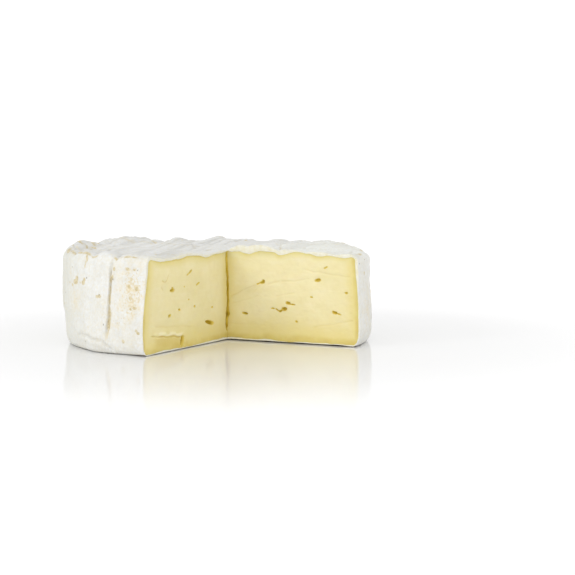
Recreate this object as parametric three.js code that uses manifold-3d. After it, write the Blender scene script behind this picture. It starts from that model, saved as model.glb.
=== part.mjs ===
// A round soft-ripened cheese with a bloomy white rind, from which a quarter has been cut.
// Millimetres, +Z up. The wheel's axis is +Z, and it stands on its flat underside at z = 0.
// The missing quarter is at +X, -Y: one cut face looks along +X and the other along -Y.
// The knife met a little off the wheel's centre, so both cut faces run out from there.
import * as THREE from "three";
import { mergeVertices } from "three/addons/utils/BufferGeometryUtils.js";
import Module from "manifold-3d";

const rad = THREE.MathUtils.degToRad;
const smooth = THREE.MathUtils.smoothstep;
const bell = (offset) => Math.exp(-offset * offset);

// The wheel
const wheelRadius = 55;
const rimHeight = 33;
const dishDepth = 0.6;
const knifeMeets = { x: 3, y: 1.5 };

// The profile: a side that is nearly straight, with rounded edges
const topEdge = 3.6;
const bottomEdge = { width: 2.2, height: 5 };
const belly = { size: 0.45, height: 15, reach: 18 };
const outOfRound = [
  { waves: 2, size: 0.25, turn: 0.6 },
  { waves: 3, size: 0.15, turn: 4.4 },
];
const leanIn = { least: 0.3, more: 1.6, angle: rad(278), spread: rad(33) };

// Swellings and hollows of the side: angle, height, rise, and how far they reach each way
const sideSwells = [
  { angle: rad(209), height: 17, rise: 0.4, wide: 14, tall: 8 },
  { angle: rad(206), height: 3, rise: -0.8, wide: 13, tall: 8 },
  { angle: rad(251), height: 0, rise: 1.4, wide: 8, tall: 6 },
  { angle: rad(274), height: 8, rise: 1.3, wide: 7, tall: 11 },
  { angle: rad(206), height: 31, rise: 0.45, wide: 10, tall: 6 },
  { angle: rad(180), height: 24, rise: -0.6, wide: 9, tall: 9 },
  { angle: rad(118), height: 13, rise: 0.6, wide: 16, tall: 9 },
  { angle: rad(92), height: 6, rise: -0.6, wide: 10, tall: 8 },
  { angle: rad(70), height: 20, rise: 0.5, wide: 12, tall: 10 },
  { angle: rad(30), height: 22, rise: -0.6, wide: 16, tall: 9 },
];

// Valleys that the draining mat left across the top, which run along Y between broad ridges
const valleys = [
  { x: -42, depth: 1.6 },
  { x: -32.5, depth: 1.4 },
  { x: -20.5, depth: 0.8 },
  { x: -9, depth: 1.4 },
  { x: 2, depth: 0.9 },
  { x: 11.8, depth: 1.1 },
  { x: 24, depth: 1.1 },
  { x: 35, depth: 0.9 },
  { x: 46, depth: 0.9 },
];
const valleyWidth = 2.3;
const valleyWobble = { size: 0.7, length: 13 };
const ridgeLift = 0.42;

// Lower and longer waves that run across them, and the side of the wheel that stands higher
const longWave = { size: 0.5, length: 28, crest: -25.5, slant: 18 };
const highSide = { rise: 0.5, from: 15, to: 48 };
const slump = { drop: 1.5, inward: 0.4, angle: rad(25), spread: rad(22) };

// Where the rind stands up or sinks along the top's rim
const rimFolds = [
  { angle: rad(193), rise: 1.05, spread: rad(4) },
  { angle: rad(180), rise: -0.85, spread: rad(5) },
  { angle: rad(161), rise: 0.5, spread: rad(8) },
  { angle: rad(145), rise: -0.8, spread: rad(3) },
  { angle: rad(119), rise: 0.6, spread: rad(4) },
  { angle: rad(100), rise: -0.5, spread: rad(4) },
  { angle: rad(66), rise: 0.5, spread: rad(9) },
  { angle: rad(214), rise: -0.2, spread: rad(8) },
  { angle: rad(246), rise: -0.7, spread: rad(3) },
  { angle: rad(204), rise: 0.5, spread: rad(5) },
  { angle: rad(174), rise: 0.95, spread: rad(4.5) },
  { angle: rad(165), rise: -0.35, spread: rad(2.5) },
  { angle: rad(151.5), rise: 0.8, spread: rad(3.5) },
  { angle: rad(126.5), rise: -1.5, spread: rad(4.5) },
  { angle: rad(104.5), rise: 0.55, spread: rad(3) },
  { angle: rad(57), rise: 0.5, spread: rad(5) },
  { angle: rad(46), rise: 0.6, spread: rad(5) },
  { angle: rad(144), rise: -0.4, spread: rad(2.5) },
  { angle: rad(129), rise: -0.45, spread: rad(2.5) },
  { angle: rad(61), rise: 0.45, spread: rad(3.5) },
  { angle: rad(38), rise: 0.4, spread: rad(4) },
];

// A stretch of the second cut's top edge that the knife drew up
const drawnUp = { out: 10.5, half: 8.5, rise: 1.25, reach: 5 };

// Where the cuts meet, the knife pressed the top down
const pressed = { drop: 1, reach: 3.6 };

// Upright creases in the side: a lip stands proud on one edge and hangs over the fold beside it
const creases = [
  { angle: rad(257.1), lean: rad(0.057), low: 3.5, high: 36, depth: 0.65 },
  { angle: rad(146), lean: rad(-0.1), low: 9, high: 30, depth: 0.9 },
  { angle: rad(61), lean: rad(0.16), low: 6, high: 36, depth: 1.0 },
];
const creaseLip = { rise: 0.35, from: -2.6, at: -0.45 };
const creaseFloor = { from: -0.2, to: 0.3, end: 1.4 };

// Shallow dents and swellings strewn over the top
const dentCount = 18;
const dentSeed = 4021;
const dentSize = { height: 0.7, least: 4, most: 9 };

// Gas holes in the cut faces: distance out from where the knife met, height above the
// underside, width, height, tilt and depth. The first face looks along +X, the second along -Y.
const holes = {
  alongY: [
    [38, 20.5, 2.8, 1.5, -4, 1.3],
    [13.2, 7.1, 6.0, 1.6, 12, 1.8],
    [39.5, 12, 2.0, 1.2, -10, 1.0],
    [33, 13.6, 1.5, 0.9, 12, 0.7],
    [23, 13.7, 1.4, 0.9, 0, 0.7],
    [26.8, 25.9, 4.4, 0.9, -30, 0.8],
    [20.9, 21.5, 3.2, 0.8, -32, 0.7],
  ],
  alongX: [
    [14.3, 21.2, 2.8, 1.3, 24, 1.5],
    [25, 13.8, 3.0, 1.2, -8, 1.6],
    [22, 11.8, 4.4, 1.1, 6, 1.6],
    [7.2, 9.6, 2.2, 1.0, -4, 1.3],
    [27.6, 7.6, 1.0, 0.8, 0, 0.8],
    [36, 22.5, 2.2, 1.1, 14, 1.3],
    [42.5, 11.5, 3.0, 1.2, -10, 1.6],
    [47, 18.5, 1.2, 0.9, 0, 0.9],
    [33.5, 16.5, 1.1, 0.8, 8, 0.8],
  ],
};

// The slit where the knife ran past the meeting of the two cuts
const slit = { width: 1.1, depth: 1.8, low: 5.5, wander: 0.25 };

// How fine the surface is
const columnStep = 2.3;
const ringCount = 25;
const bottomCornerSteps = 4;
const sideSteps = 7;
const topCornerSteps = 4;
const creaseColumns = [-2.6, -1.3, -0.45, -0.15, 0.35, 0.9, 1.6, 2.8];

const cutAngle = { alongX: 0, alongY: rad(270) };

// The same row of numbers between 0 and 1 for the same seed.
function seededDraw(seed) {
  let state = seed;
  return () => {
    state = (state * 16807) % 2147483647;
    return state / 2147483647;
  };
}

function strewDents() {
  const draw = seededDraw(dentSeed);
  return Array.from({ length: dentCount }, () => {
    const angle = draw() * 2 * Math.PI;
    const reach = Math.sqrt(draw()) * wheelRadius;
    return {
      x: reach * Math.cos(angle),
      y: reach * Math.sin(angle),
      rise: (draw() - 0.5) * dentSize.height,
      spread: dentSize.least + (dentSize.most - dentSize.least) * draw(),
    };
  });
}
const dents = strewDents();

// The smaller angle from one direction to another, with its sign.
function turnBetween(from, to) {
  const turn = to - from;
  return Math.atan2(Math.sin(turn), Math.cos(turn));
}

const nearAngle = (feature, angle) => bell(turnBetween(feature.angle, angle) / feature.spread);

// The ridges and valleys, which fade and strengthen along their length.
function matHeight(x, y) {
  const across = x + valleyWobble.size * Math.sin(y / valleyWobble.length + x / 20);
  let height = ridgeLift;
  for (const valley of valleys) {
    const strength = 0.8 + 0.2 * Math.sin(y / 15 + valley.x);
    height -= valley.depth * strength * Math.exp(-Math.abs(across - valley.x) / valleyWidth);
  }
  return height;
}

function waveHeight(x, y) {
  const turn = (2 * Math.PI * (y - longWave.crest)) / longWave.length + x / longWave.slant;
  return longWave.size * Math.cos(turn);
}

function topHeight(x, y) {
  const share = Math.hypot(x, y) / wheelRadius;
  const angle = Math.atan2(y, x);
  const nearRim = smooth(share, 0.62, 0.96);
  let height = rimHeight - dishDepth * (1 - share * share);
  height += matHeight(x, y) + waveHeight(x, y);
  height += highSide.rise * smooth(-x, highSide.from, highSide.to);
  for (const dent of dents) {
    height += dent.rise * bell(Math.hypot(x - dent.x, y - dent.y) / dent.spread);
  }
  for (const fold of rimFolds) {
    height += nearRim * fold.rise * nearAngle(fold, angle);
  }
  const aside = (x - knifeMeets.x - drawnUp.out) / drawnUp.half;
  height += drawnUp.rise * Math.exp(-(aside ** 4)) * bell((y - knifeMeets.y) / drawnUp.reach);
  height -= pressed.drop * bell(Math.hypot(x - knifeMeets.x, y - knifeMeets.y) / pressed.reach);
  return height - nearRim * slump.drop * nearAngle(slump, angle);
}

const creaseAngle = (crease, height) => crease.angle + crease.lean * (height - rimHeight / 2);

function creaseRelief(crease, angle, height) {
  const aside = turnBetween(creaseAngle(crease, height), angle) * wheelRadius;
  const fadeHigh = 1 - smooth(height, crease.high - 4, crease.high);
  const fadeLow = smooth(height, crease.low, crease.low + 6);
  const lipEnd = 1 - smooth(aside, creaseLip.at, creaseFloor.from);
  const lip = smooth(aside, creaseLip.from, creaseLip.at) * lipEnd;
  const floorEnd = 1 - smooth(aside, creaseFloor.to, creaseFloor.end);
  const floor = smooth(aside, creaseFloor.from, creaseFloor.to) * floorEnd;
  return fadeHigh * fadeLow * (creaseLip.rise * lip - crease.depth * floor);
}

// The side's distance from the wheel's axis.
function sideRadius(angle, height) {
  let radius = wheelRadius - belly.size * ((height - belly.height) / belly.reach) ** 2;
  for (const wave of outOfRound) {
    radius += wave.size * Math.cos(wave.waves * angle + wave.turn);
  }
  for (const swell of sideSwells) {
    const aside = (turnBetween(swell.angle, angle) * wheelRadius) / swell.wide;
    radius += swell.rise * bell(aside) * bell((height - swell.height) / swell.tall);
  }
  radius -= (leanIn.least + leanIn.more * nearAngle(leanIn, angle)) * (height / rimHeight) ** 2;
  radius -= slump.inward * nearAngle(slump, angle);
  return creases.reduce((sum, crease) => sum + creaseRelief(crease, angle, height), radius);
}

// The profile from the edge of the flat underside, round the side, to the edge of the top.
function profileLevels() {
  const levels = [];
  for (let i = 0; i < bottomCornerSteps; i++) {
    const turn = ((i / bottomCornerSteps) * Math.PI) / 2;
    levels.push({
      inset: bottomEdge.width * (1 - Math.sin(turn)),
      height: bottomEdge.height * (1 - Math.cos(turn)),
    });
  }
  for (let i = 0; i < sideSteps; i++) {
    const height = THREE.MathUtils.lerp(bottomEdge.height, rimHeight - topEdge, i / sideSteps);
    levels.push({ inset: 0, height });
  }
  for (let i = 0; i <= topCornerSteps; i++) {
    const turn = ((i / topCornerSteps) * Math.PI) / 2;
    levels.push({
      inset: topEdge * (1 - Math.cos(turn)),
      height: rimHeight - topEdge * (1 - Math.sin(turn)),
    });
  }
  return levels;
}
const levels = profileLevels();
const underside = levels[0];
const top = levels[levels.length - 1];

// How far a ray from the knife's meeting point runs before it is a given distance from the axis.
function rayLength(direction, radius) {
  const along = knifeMeets.x * Math.cos(direction) + knifeMeets.y * Math.sin(direction);
  const off = knifeMeets.x ** 2 + knifeMeets.y ** 2;
  return -along + Math.sqrt(along * along - off + radius * radius);
}

const alongRay = (direction, length) => [
  knifeMeets.x + length * Math.cos(direction),
  knifeMeets.y + length * Math.sin(direction),
];

// A point of the cheese: its direction from where the knife met, its share of the way out to the
// side, and its level in the profile.
function place(direction, share, level) {
  const [rimX, rimY] = alongRay(direction, rayLength(direction, wheelRadius));
  const radius = sideRadius(Math.atan2(rimY, rimX), level.height) - level.inset;
  const [x, y] = alongRay(direction, share * rayLength(direction, radius));
  return new THREE.Vector3(x, y, (level.height / rimHeight) * topHeight(x, y));
}

// The direction from where the knife met to the rim's point at an angle about the axis.
function directionOf(angle) {
  const turn = Math.atan2(
    wheelRadius * Math.sin(angle) - knifeMeets.y,
    wheelRadius * Math.cos(angle) - knifeMeets.x,
  );
  return turn < 0 ? turn + 2 * Math.PI : turn;
}

function evenDirections(count) {
  const span = cutAngle.alongY - cutAngle.alongX;
  return Array.from({ length: count + 1 }, (_, i) => cutAngle.alongX + (span * i) / count);
}

// The columns that the side is drawn with: even, but closer together across each crease.
function columnDirections() {
  const span = cutAngle.alongY - cutAngle.alongX;
  const even = evenDirections(Math.round((span * wheelRadius) / columnStep));
  const crossing = creases.map((crease) => directionOf(crease.angle));
  const clear = Math.max(...creaseColumns) + columnStep / 2;
  const kept = even.filter((d) => crossing.every((c) => Math.abs(d - c) * wheelRadius > clear));
  const added = crossing.flatMap((c) => creaseColumns.map((aside) => c + aside / wheelRadius));
  return [...kept, ...added].sort((a, b) => a - b);
}
const columns = columnDirections();

// A column's direction at a height, so that the columns beside a crease lean with it.
function leaning(direction, height) {
  const isCutEdge = direction === columns[0] || direction === columns[columns.length - 1];
  if (isCutEdge) return direction;
  const spread = rad(7);
  return creases.reduce((turned, crease) => {
    const near = bell((direction - directionOf(crease.angle)) / spread);
    return turned + near * crease.lean * (height - rimHeight / 2);
  }, direction);
}

const triangles = [];

// The points of one ring of the top.
function ringPoints(ring) {
  const share = ring / ringCount;
  const segments = Math.max(3, Math.round((columns.length - 1) * share));
  const directions =
    ring === ringCount ? columns.map((d) => leaning(d, top.height)) : evenDirections(segments);
  return directions.map((direction) => ({ direction, point: place(direction, share, top) }));
}

// Fills the band between two rings, whichever number of points each has.
function stitch(inner, outer) {
  let i = 0;
  let o = 0;
  while (i < inner.length - 1 || o < outer.length - 1) {
    const innerNext = i < inner.length - 1 ? inner[i + 1].direction : Infinity;
    const outerNext = o < outer.length - 1 ? outer[o + 1].direction : Infinity;
    if (outerNext <= innerNext) {
      triangles.push(inner[i].point, outer[o].point, outer[o + 1].point);
      o += 1;
    } else {
      triangles.push(inner[i].point, outer[o].point, inner[i + 1].point);
      i += 1;
    }
  }
}

function addTop() {
  let inner = [{ direction: cutAngle.alongX, point: place(cutAngle.alongX, 0, top) }];
  for (let ring = 1; ring <= ringCount; ring++) {
    const outer = ringPoints(ring);
    stitch(inner, outer);
    inner = outer;
  }
}

function addSide() {
  for (let j = 0; j < levels.length - 1; j++) {
    for (let i = 0; i < columns.length - 1; i++) {
      const corner = (column, level) => place(leaning(columns[column], level.height), 1, level);
      const low = [corner(i, levels[j]), corner(i + 1, levels[j])];
      const high = [corner(i, levels[j + 1]), corner(i + 1, levels[j + 1])];
      triangles.push(low[0], low[1], high[1], low[0], high[1], high[0]);
    }
  }
}

// Fills a flat outline, given in order round it, with triangles that face outward.
function addFlat(outline, outward) {
  const across = new THREE.Vector3(outward.z, outward.x, outward.y);
  const up = new THREE.Vector3().crossVectors(outward, across);
  const flat = outline.map((point) => new THREE.Vector2(point.dot(across), point.dot(up)));
  for (const face of THREE.ShapeUtils.triangulateShape(flat, [])) {
    const corners = face.map((i) => outline[i]);
    const first = new THREE.Vector3().subVectors(corners[1], corners[0]);
    const second = new THREE.Vector3().subVectors(corners[2], corners[0]);
    if (first.cross(second).dot(outward) < 0) corners.reverse();
    triangles.push(...corners);
  }
}

function addUnderside() {
  const rim = columns.map((d) => place(leaning(d, underside.height), 1, underside));
  addFlat([place(0, 0, underside), ...rim], new THREE.Vector3(0, 0, -1));
}

// A cut face's outline: out along the underside, up the side, back along the top.
function addCutFace(direction, outward) {
  const side = levels.map((level) => place(direction, 1, level));
  const back = Array.from({ length: ringCount }, (_, i) =>
    place(direction, (ringCount - 1 - i) / ringCount, top),
  );
  addFlat([place(direction, 0, underside), ...side, ...back], outward);
}

function solidOf(wasm, geometry) {
  const bare = geometry.index ? geometry.toNonIndexed() : geometry.clone();
  bare.deleteAttribute("normal");
  bare.deleteAttribute("uv");
  const merged = mergeVertices(bare, 1e-4);
  return new wasm.Manifold(
    new wasm.Mesh({
      numProp: 3,
      vertProperties: merged.attributes.position.array,
      triVerts: new Uint32Array(merged.index.array),
    }),
  );
}

function geometryOf(solid) {
  const { vertProperties, triVerts } = solid.getMesh();
  const geometry = new THREE.BufferGeometry();
  geometry.setAttribute("position", new THREE.BufferAttribute(vertProperties, 3));
  geometry.setIndex(new THREE.BufferAttribute(triVerts, 1));
  geometry.computeVertexNormals();
  return geometry;
}

// A flattened ball, set half into a cut face, that leaves a hole of the given size.
function holeCutter(face, [out, height, width, tall, tilt, depth]) {
  const ball = new THREE.SphereGeometry(1, 10, 6);
  ball.scale(width / 2, depth, tall / 2);
  ball.rotateY(rad(-tilt));
  if (face === "alongY") ball.rotateZ(rad(-90));
  const [x, y] = alongRay(cutAngle[face], out);
  return ball.translate(x, y, height);
}

// The slit tapers inwards from where the faces meet, and closes towards its foot.
function slitCutter() {
  const height = rimHeight + 3 - slit.low;
  const half = slit.width / 2;
  const outline = new THREE.Shape();
  outline.moveTo(-half, -0.6);
  outline.lineTo(half, -0.6);
  outline.lineTo(half * 0.6, slit.depth * 0.6);
  outline.lineTo(0, slit.depth);
  outline.lineTo(-half * 0.6, slit.depth * 0.6);
  const wedge = new THREE.ExtrudeGeometry(outline, { depth: height, bevelEnabled: false, steps: 5 });
  const position = wedge.attributes.position;
  for (let i = 0; i < position.count; i++) {
    const up = position.getZ(i) / height;
    const open = 0.35 + 0.65 * smooth(up, 0, 0.25);
    position.setX(i, position.getX(i) * open + slit.wander * Math.sin(up * 7));
    if (position.getY(i) > 0) position.setY(i, position.getY(i) * open);
  }
  return wedge.translate(knifeMeets.x, knifeMeets.y, slit.low);
}

addTop();
addSide();
addUnderside();
addCutFace(cutAngle.alongX, new THREE.Vector3(0, -1, 0));
addCutFace(cutAngle.alongY, new THREE.Vector3(1, 0, 0));

const wasm = await Module();
wasm.setup();

let cheese = solidOf(wasm, new THREE.BufferGeometry().setFromPoints(triangles));
for (const face of ["alongY", "alongX"]) {
  for (const hole of holes[face]) {
    cheese = cheese.subtract(solidOf(wasm, holeCutter(face, hole)));
  }
}
cheese = cheese.subtract(solidOf(wasm, slitCutter()));

const bloomyRind = new THREE.MeshStandardMaterial({ color: 0xefece2, roughness: 0.85, metalness: 0 });
const wheel = new THREE.Mesh(geometryOf(cheese), bloomyRind);
wheel.name = "cheese_wheel";

const part = new THREE.Group();
part.add(wheel);

export default part;
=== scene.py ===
import bpy
import numpy as np
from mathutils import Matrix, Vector


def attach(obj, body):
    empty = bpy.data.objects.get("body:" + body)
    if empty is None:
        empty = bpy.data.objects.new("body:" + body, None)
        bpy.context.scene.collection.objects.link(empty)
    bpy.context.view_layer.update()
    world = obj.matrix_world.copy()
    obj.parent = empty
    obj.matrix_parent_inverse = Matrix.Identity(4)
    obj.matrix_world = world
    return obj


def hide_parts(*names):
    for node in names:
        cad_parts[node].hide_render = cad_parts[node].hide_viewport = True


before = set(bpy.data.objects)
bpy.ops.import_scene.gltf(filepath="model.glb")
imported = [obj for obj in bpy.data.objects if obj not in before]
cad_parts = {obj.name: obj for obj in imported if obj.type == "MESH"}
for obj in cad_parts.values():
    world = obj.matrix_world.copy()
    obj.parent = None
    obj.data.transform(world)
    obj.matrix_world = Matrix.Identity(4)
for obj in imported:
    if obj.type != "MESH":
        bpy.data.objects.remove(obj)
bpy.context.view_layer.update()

MM = 0.001

# The wheel's form, as the solid has it
WHEEL_RADIUS = 55.0
RIM_HEIGHT = 33.0
DISH_DEPTH = 0.6
KNIFE_MEETS = (3.0, 1.5)
TOP_EDGE = 3.6
BOTTOM_EDGE = (2.2, 5.0)
BELLY = {"size": 0.45, "height": 15, "reach": 18}
LEAN_IN = {"least": 0.3, "more": 1.6, "angle": 278, "spread": 33}

# How far round the wheel goes on from one cut to the other, in radians
CUT_SPAN = 1.5 * np.pi

# What makes the wheel out of round: waves round the rim, the size of each and its turn
OUT_OF_ROUND = [(2, 0.25, 0.6), (3, 0.15, 4.4)]

# Swellings and hollows of the side: angle, height, rise, and reach each way
SIDE_SWELLS = [
    (209, 17, 0.4, 14, 8),
    (206, 3, -0.8, 13, 8),
    (251, 0, 1.4, 8, 6),
    (274, 8, 1.3, 7, 11),
    (206, 31, 0.45, 10, 6),
    (180, 24, -0.6, 9, 9),
    (118, 13, 0.6, 16, 9),
    (92, 6, -0.6, 10, 8),
    (70, 20, 0.5, 12, 10),
    (30, 22, -0.6, 16, 9),
]

# Valleys that the draining mat left: place across the top, and depth
VALLEYS = [
    (-42, 1.6), (-32.5, 1.4), (-20.5, 0.8), (-9, 1.4), (2, 0.9),
    (11.8, 1.1), (24, 1.1), (35, 0.9), (46, 0.9),
]

# How wide they are, how far and how slowly they sway, and how much the ridges between them rise
VALLEY_WIDTH = 2.3
VALLEY_WOBBLE = (0.7, 13)
RIDGE_LIFT = 0.42

# The top's slow forms: a long wave, a side that rises from one distance out to another, and a
# place where the wheel has slumped
LONG_WAVE = {"size": 0.5, "length": 28, "crest": -25.5, "slant": 18}
HIGH_SIDE = (0.5, 15, 48)
SLUMP = {"drop": 1.5, "inward": 0.4, "angle": 25, "spread": 22}

# Where the rind stands up or sinks along the rim: angle, rise, spread
RIM_FOLDS = [
    (193, 1.05, 4), (180, -0.85, 5), (161, 0.5, 8), (145, -0.8, 3), (119, 0.6, 4),
    (100, -0.5, 4), (66, 0.5, 9), (214, -0.2, 8), (246, -0.4, 3),
    (204, 0.5, 5), (174, 0.95, 4.5), (165, -0.35, 2.5), (151.5, 0.8, 3.5), (126.5, -1.5, 4.5),
    (104.5, 0.55, 3), (57, 0.5, 5), (46, 0.6, 5), (144, -0.4, 2.5), (129, -0.45, 2.5),
    (61, 0.45, 3.5), (38, 0.4, 4),
]

# A stretch of the top, at the cut along x, that the knife drew up: middle, half length, rise, reach
DRAWN_UP = {"out": 10.5, "half": 8.5, "rise": 1.25, "reach": 5}

# Where the cuts meet, the knife pressed the top down
PRESSED = {"drop": 1.0, "reach": 3.6}

# Upright creases: angle, lean for each millimetre, lowest, highest, depth
CREASES = [(257.1, 0.057, 3.5, 33, 0.65), (146, -0.1, 9, 30, 0.9), (61, 0.16, 6, 36, 1.0)]

# Across a crease: the lip's rise, start and crest, then where the floor starts, is level and ends
CREASE_LIP = (0.35, -2.6, -0.3)
CREASE_FLOOR = (-0.12, 0.08, 1.05, 1.5)

# Dents and swellings strewn over the top from a fixed seed
DENT_COUNT = 18
DENT_SEED = 4021
DENT_SIZE = {"height": 0.7, "least": 4, "most": 9}

# Fine relief of the rind: its size, and the length of its bumps across and along
TOP_FOLD = {"size": 0.3, "across": 4.2, "along": 45}
TOP_LINE = {"size": 0.5, "across": 3.4, "along": 60, "slant": 0.05}
RIM_WRINKLE = {"size": 0.6, "across": 2.6, "along": 19, "angle": 207, "spread": 30, "run": -42}
RIM_PLEAT = {"size": 0.7, "across": 4.6, "along": 15, "reach": 11}
PIMPLE = {"size": 0.16, "on_top": 2.8, "on_side": 3.1}
GRAIN = {"size": 0.09, "on_top": 1.1, "on_side": 1.2}
SIDE_SWELLING = {"size": 0.2, "across": 7}
SIDE_WRINKLE = {"size": 0.14, "across": 2.6, "along": 17}

# Folds that run round just inside the rim: distance out, from and to angle, width, depth, how tan
RIM_GROOVES = [
    (49.0, 150, 168, 0.5, 0.6, 0.1), (50.5, 112, 131, 0.5, 0.6, 0.1), (47.5, 72, 92, 0.5, 0.5, 0.1),
    (50.0, 34, 52, 0.5, 0.6, 0.2), (48.5, 8, 24, 0.5, 0.5, 0.2),
]

# Single grooves of the top, whose left bank stands up: the points of each, width, depth, how tan
TOP_GROOVES = [
    (((-50.5, -13.0), (-45.0, -18.7)), 0.3, 0.35, 0.5),
    (((-47.0, -15.0), (-40.5, -20.3), (-34.5, -24.6)), 0.3, 0.45, 0.65),
    (((-50.0, -3.0), (-44.1, -9.7), (-36.4, -19.0)), 0.3, 0.35, 0.45),
    (((-45.6, -22.6), (-41.0, -25.6), (-36.0, -31.0)), 0.3, 0.3, 0.45),
    (((-41.0, -13.2), (-33.5, -20.5)), 0.3, 0.4, 0.35),
    (((-36.0, -24.0), (-34.0, -20.6), (-30.6, -12.0), (-31.5, 1.5)), 0.4, 0.6, 0.1),
    (((-9.9, -33.0), (-4.0, -36.0), (2.2, -33.5)), 0.45, 0.9, 0.4),
    (((-28.0, -38.0), (-28.5, -30.0), (-28.0, -22.0)), 0.5, 0.5, 0.0),
    (((-12.0, -46.0), (-11.0, -38.0), (-12.5, -30.0)), 0.5, 0.5, 0.0),
    (((-43.2, 18.5), (-33.6, 12.0), (-25.6, 4.6)), 0.45, 0.5, 0.15),
    (((-30.3, 28.1), (-11.4, 1.5), (-7.0, -1.3)), 0.4, 0.5, 0.05),
    (((-4.0, -7.2), (-0.2, -6.8), (0.4, -2.6)), 0.4, 0.5, 0.1),
    (((-10.8, 29.6), (-11.2, 40.0)), 0.45, 0.5, 0.1),
    (((-11.4, 42.0), (-10.9, 45.8)), 0.5, 0.4, 0.9),
    (((11.6, 1.5), (6.0, 15.0), (1.5, 28.6)), 0.45, 0.5, 0.05),
    (((2.8, 32.3), (-1.1, 47.8)), 0.4, 0.4, 0.0),
    (((8.2, 30.0), (14.7, 20.2), (23.4, 2.7)), 0.4, 0.5, 0.1),
    (((21.8, 16.1), (29.6, 12.0), (40.0, 15.0)), 0.4, 0.5, 0.05),
]

# A low step in the side: its depth, its middle and spread in angle, and the heights it spans
STEP = {"size": 0.55, "angle": 207, "spread": 13, "from": 10.4, "to": 12.8}

# A flap of rind folded over near the foot: its edge as angle and height, and its relief
FLAP_EDGE = [
    (235, 5.3), (239.5, 5.0), (244.8, 5.1), (251, 4.3), (255, 3.9), (257, 2.5), (259, 1.1),
    (261, 0),
]
FLAP = {"from": 236.5, "to": 264, "rise": 0.5, "groove": 0.3}

# Short cracks in the side: lower and upper end as angle and height, width, depth
CRACKS = [
    ((242.6, 28.4), (243.8, 31.0), 0.35, 0.3),
    ((243.8, 30.6), (242.2, 33.4), 0.35, 0.3),
    ((171, 22), (173.5, 28), 0.35, 0.2),
    ((101, 18), (99, 24), 0.35, 0.2),
    ((42, 17), (40, 22), 0.35, 0.2),
]

# Where the bloom is worn to tan: angle, height, half width and half height of each spot
WORN_SPOTS = [
    (236.3, 22.9, 1.3, 0.7), (237.2, 24.1, 0.7, 0.6), (233.2, 21.6, 1.0, 0.35),
    (242.4, 23.0, 0.9, 0.6), (243.0, 24.0, 0.6, 0.5), (252.6, 19.0, 0.6, 0.4),
    (251.2, 18.8, 0.5, 0.25), (264.4, 4.5, 0.3, 0.45), (271.2, 7.7, 0.5, 0.4),
    (270.5, 8.4, 0.4, 0.3), (229.4, 22.1, 0.4, 0.25), (240.0, 22.8, 0.3, 0.2),
    (267.4, 19.0, 0.45, 0.4), (267.3, 25.4, 0.35, 0.35), (265.4, 28.6, 0.5, 0.4),
    (269.8, 22.2, 0.45, 0.5), (266.6, 22.8, 0.4, 0.35), (269.2, 15.8, 0.5, 0.35),
    (267.6, 15.4, 0.3, 0.3), (268.2, 28.4, 0.4, 0.3), (259.4, 28.4, 0.4, 0.45),
    (258.9, 25.6, 0.3, 0.6), (258.0, 9.6, 0.35, 1.0), (219, 14, 0.5, 0.35), (187, 21, 0.9, 0.6),
    (188.5, 22.3, 0.5, 0.4), (183, 12, 0.5, 0.4), (160, 26, 0.6, 0.45), (137, 17, 0.9, 0.6),
    (138.5, 15.6, 0.5, 0.4), (124, 24, 0.5, 0.4), (109, 9, 0.6, 0.5), (88, 20, 0.8, 0.5),
    (89.4, 18.9, 0.4, 0.4), (74, 12, 0.5, 0.4), (51, 24, 0.7, 0.6), (35, 9, 0.6, 0.5),
    (23, 18, 0.8, 0.7), (24.4, 19.3, 0.5, 0.4), (8, 25, 0.5, 0.5),
]

# Patches of small tan specks: angle, height, reach each way, strength
SPECK_PATCHES = [
    (268, 20.5, 6.5, 11, 1.02), (262, 12, 7, 8, 0.6), (236.5, 16.5, 4, 5, 0.75),
    (231, 26.5, 2.5, 3, 0.5), (199, 20, 7, 8, 0.5), (152, 16, 8, 9, 0.8), (116, 20, 8, 8, 0.6),
    (84, 13, 9, 9, 0.7), (44, 18, 9, 9, 0.8), (12, 12, 7, 8, 0.6),
]

# Tan streaks where the side meets the top: angle, reach along the rim, strength
RIM_STREAKS = [
    (211, 3.5, 0.7), (218, 4, 0.8), (226, 4.5, 0.9), (234, 4, 0.9), (241.5, 3, 0.9),
    (247.4, 1.8, 0.7), (258.5, 1.2, 0.9), (265, 3.5, 0.7), (188, 3, 0.5), (166, 3, 0.5),
    (139, 3, 0.6), (112, 3, 0.5), (89, 3, 0.6), (57, 3, 0.5), (33, 3, 0.5),
    (9, 3, 0.5),
]

# How far up the rounded edge the streaks lie, at the left and from there round to the right
STREAK_UP = {"left": 0.86, "right": 0.66, "from": 232, "to": 250, "width": 0.07}

# The rind: its thickness at the cuts, and how deep it runs elsewhere, out of sight
RIND_SIDE = {"foot": 0.45, "top": 1.4}
RIND_DEEP = {"top": 3.6, "side": 2.3, "bottom": 1.9}

# Where the paste ends at the top and the bottom of the cut along x and of the one along y:
# distance out, height
PASTE_TOP = (
    [
        (0, 31.3), (3.8, 31.75), (8.4, 30.7), (14, 31.8), (18.5, 31.5), (21, 30.6), (28, 31.9),
        (33, 31.3), (36, 30.5), (41, 31.0), (46, 30.3), (51, 31.0),
    ],
    [
        (0, 31.4), (7.3, 31.0), (14.5, 30.2), (20, 30.9), (26, 31.3), (35, 30.6), (43.7, 30.4),
        (54, 31.6),
    ],
)
PASTE_BOTTOM = (
    [
        (0, 1.0), (2.3, 0.95), (6.8, 0.72), (11.3, 0.55), (15.8, 1.1), (20.2, 0.72), (24.6, 0.55),
        (28.6, 0.8), (34, 0.65), (42, 0.85), (55, 0.75),
    ],
    [
        (0, 0.9), (10, 0.72), (20, 0.6), (30, 0.55), (38, 0.75), (46, 1.0), (51, 0.55), (57, 0.5),
    ],
)

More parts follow.
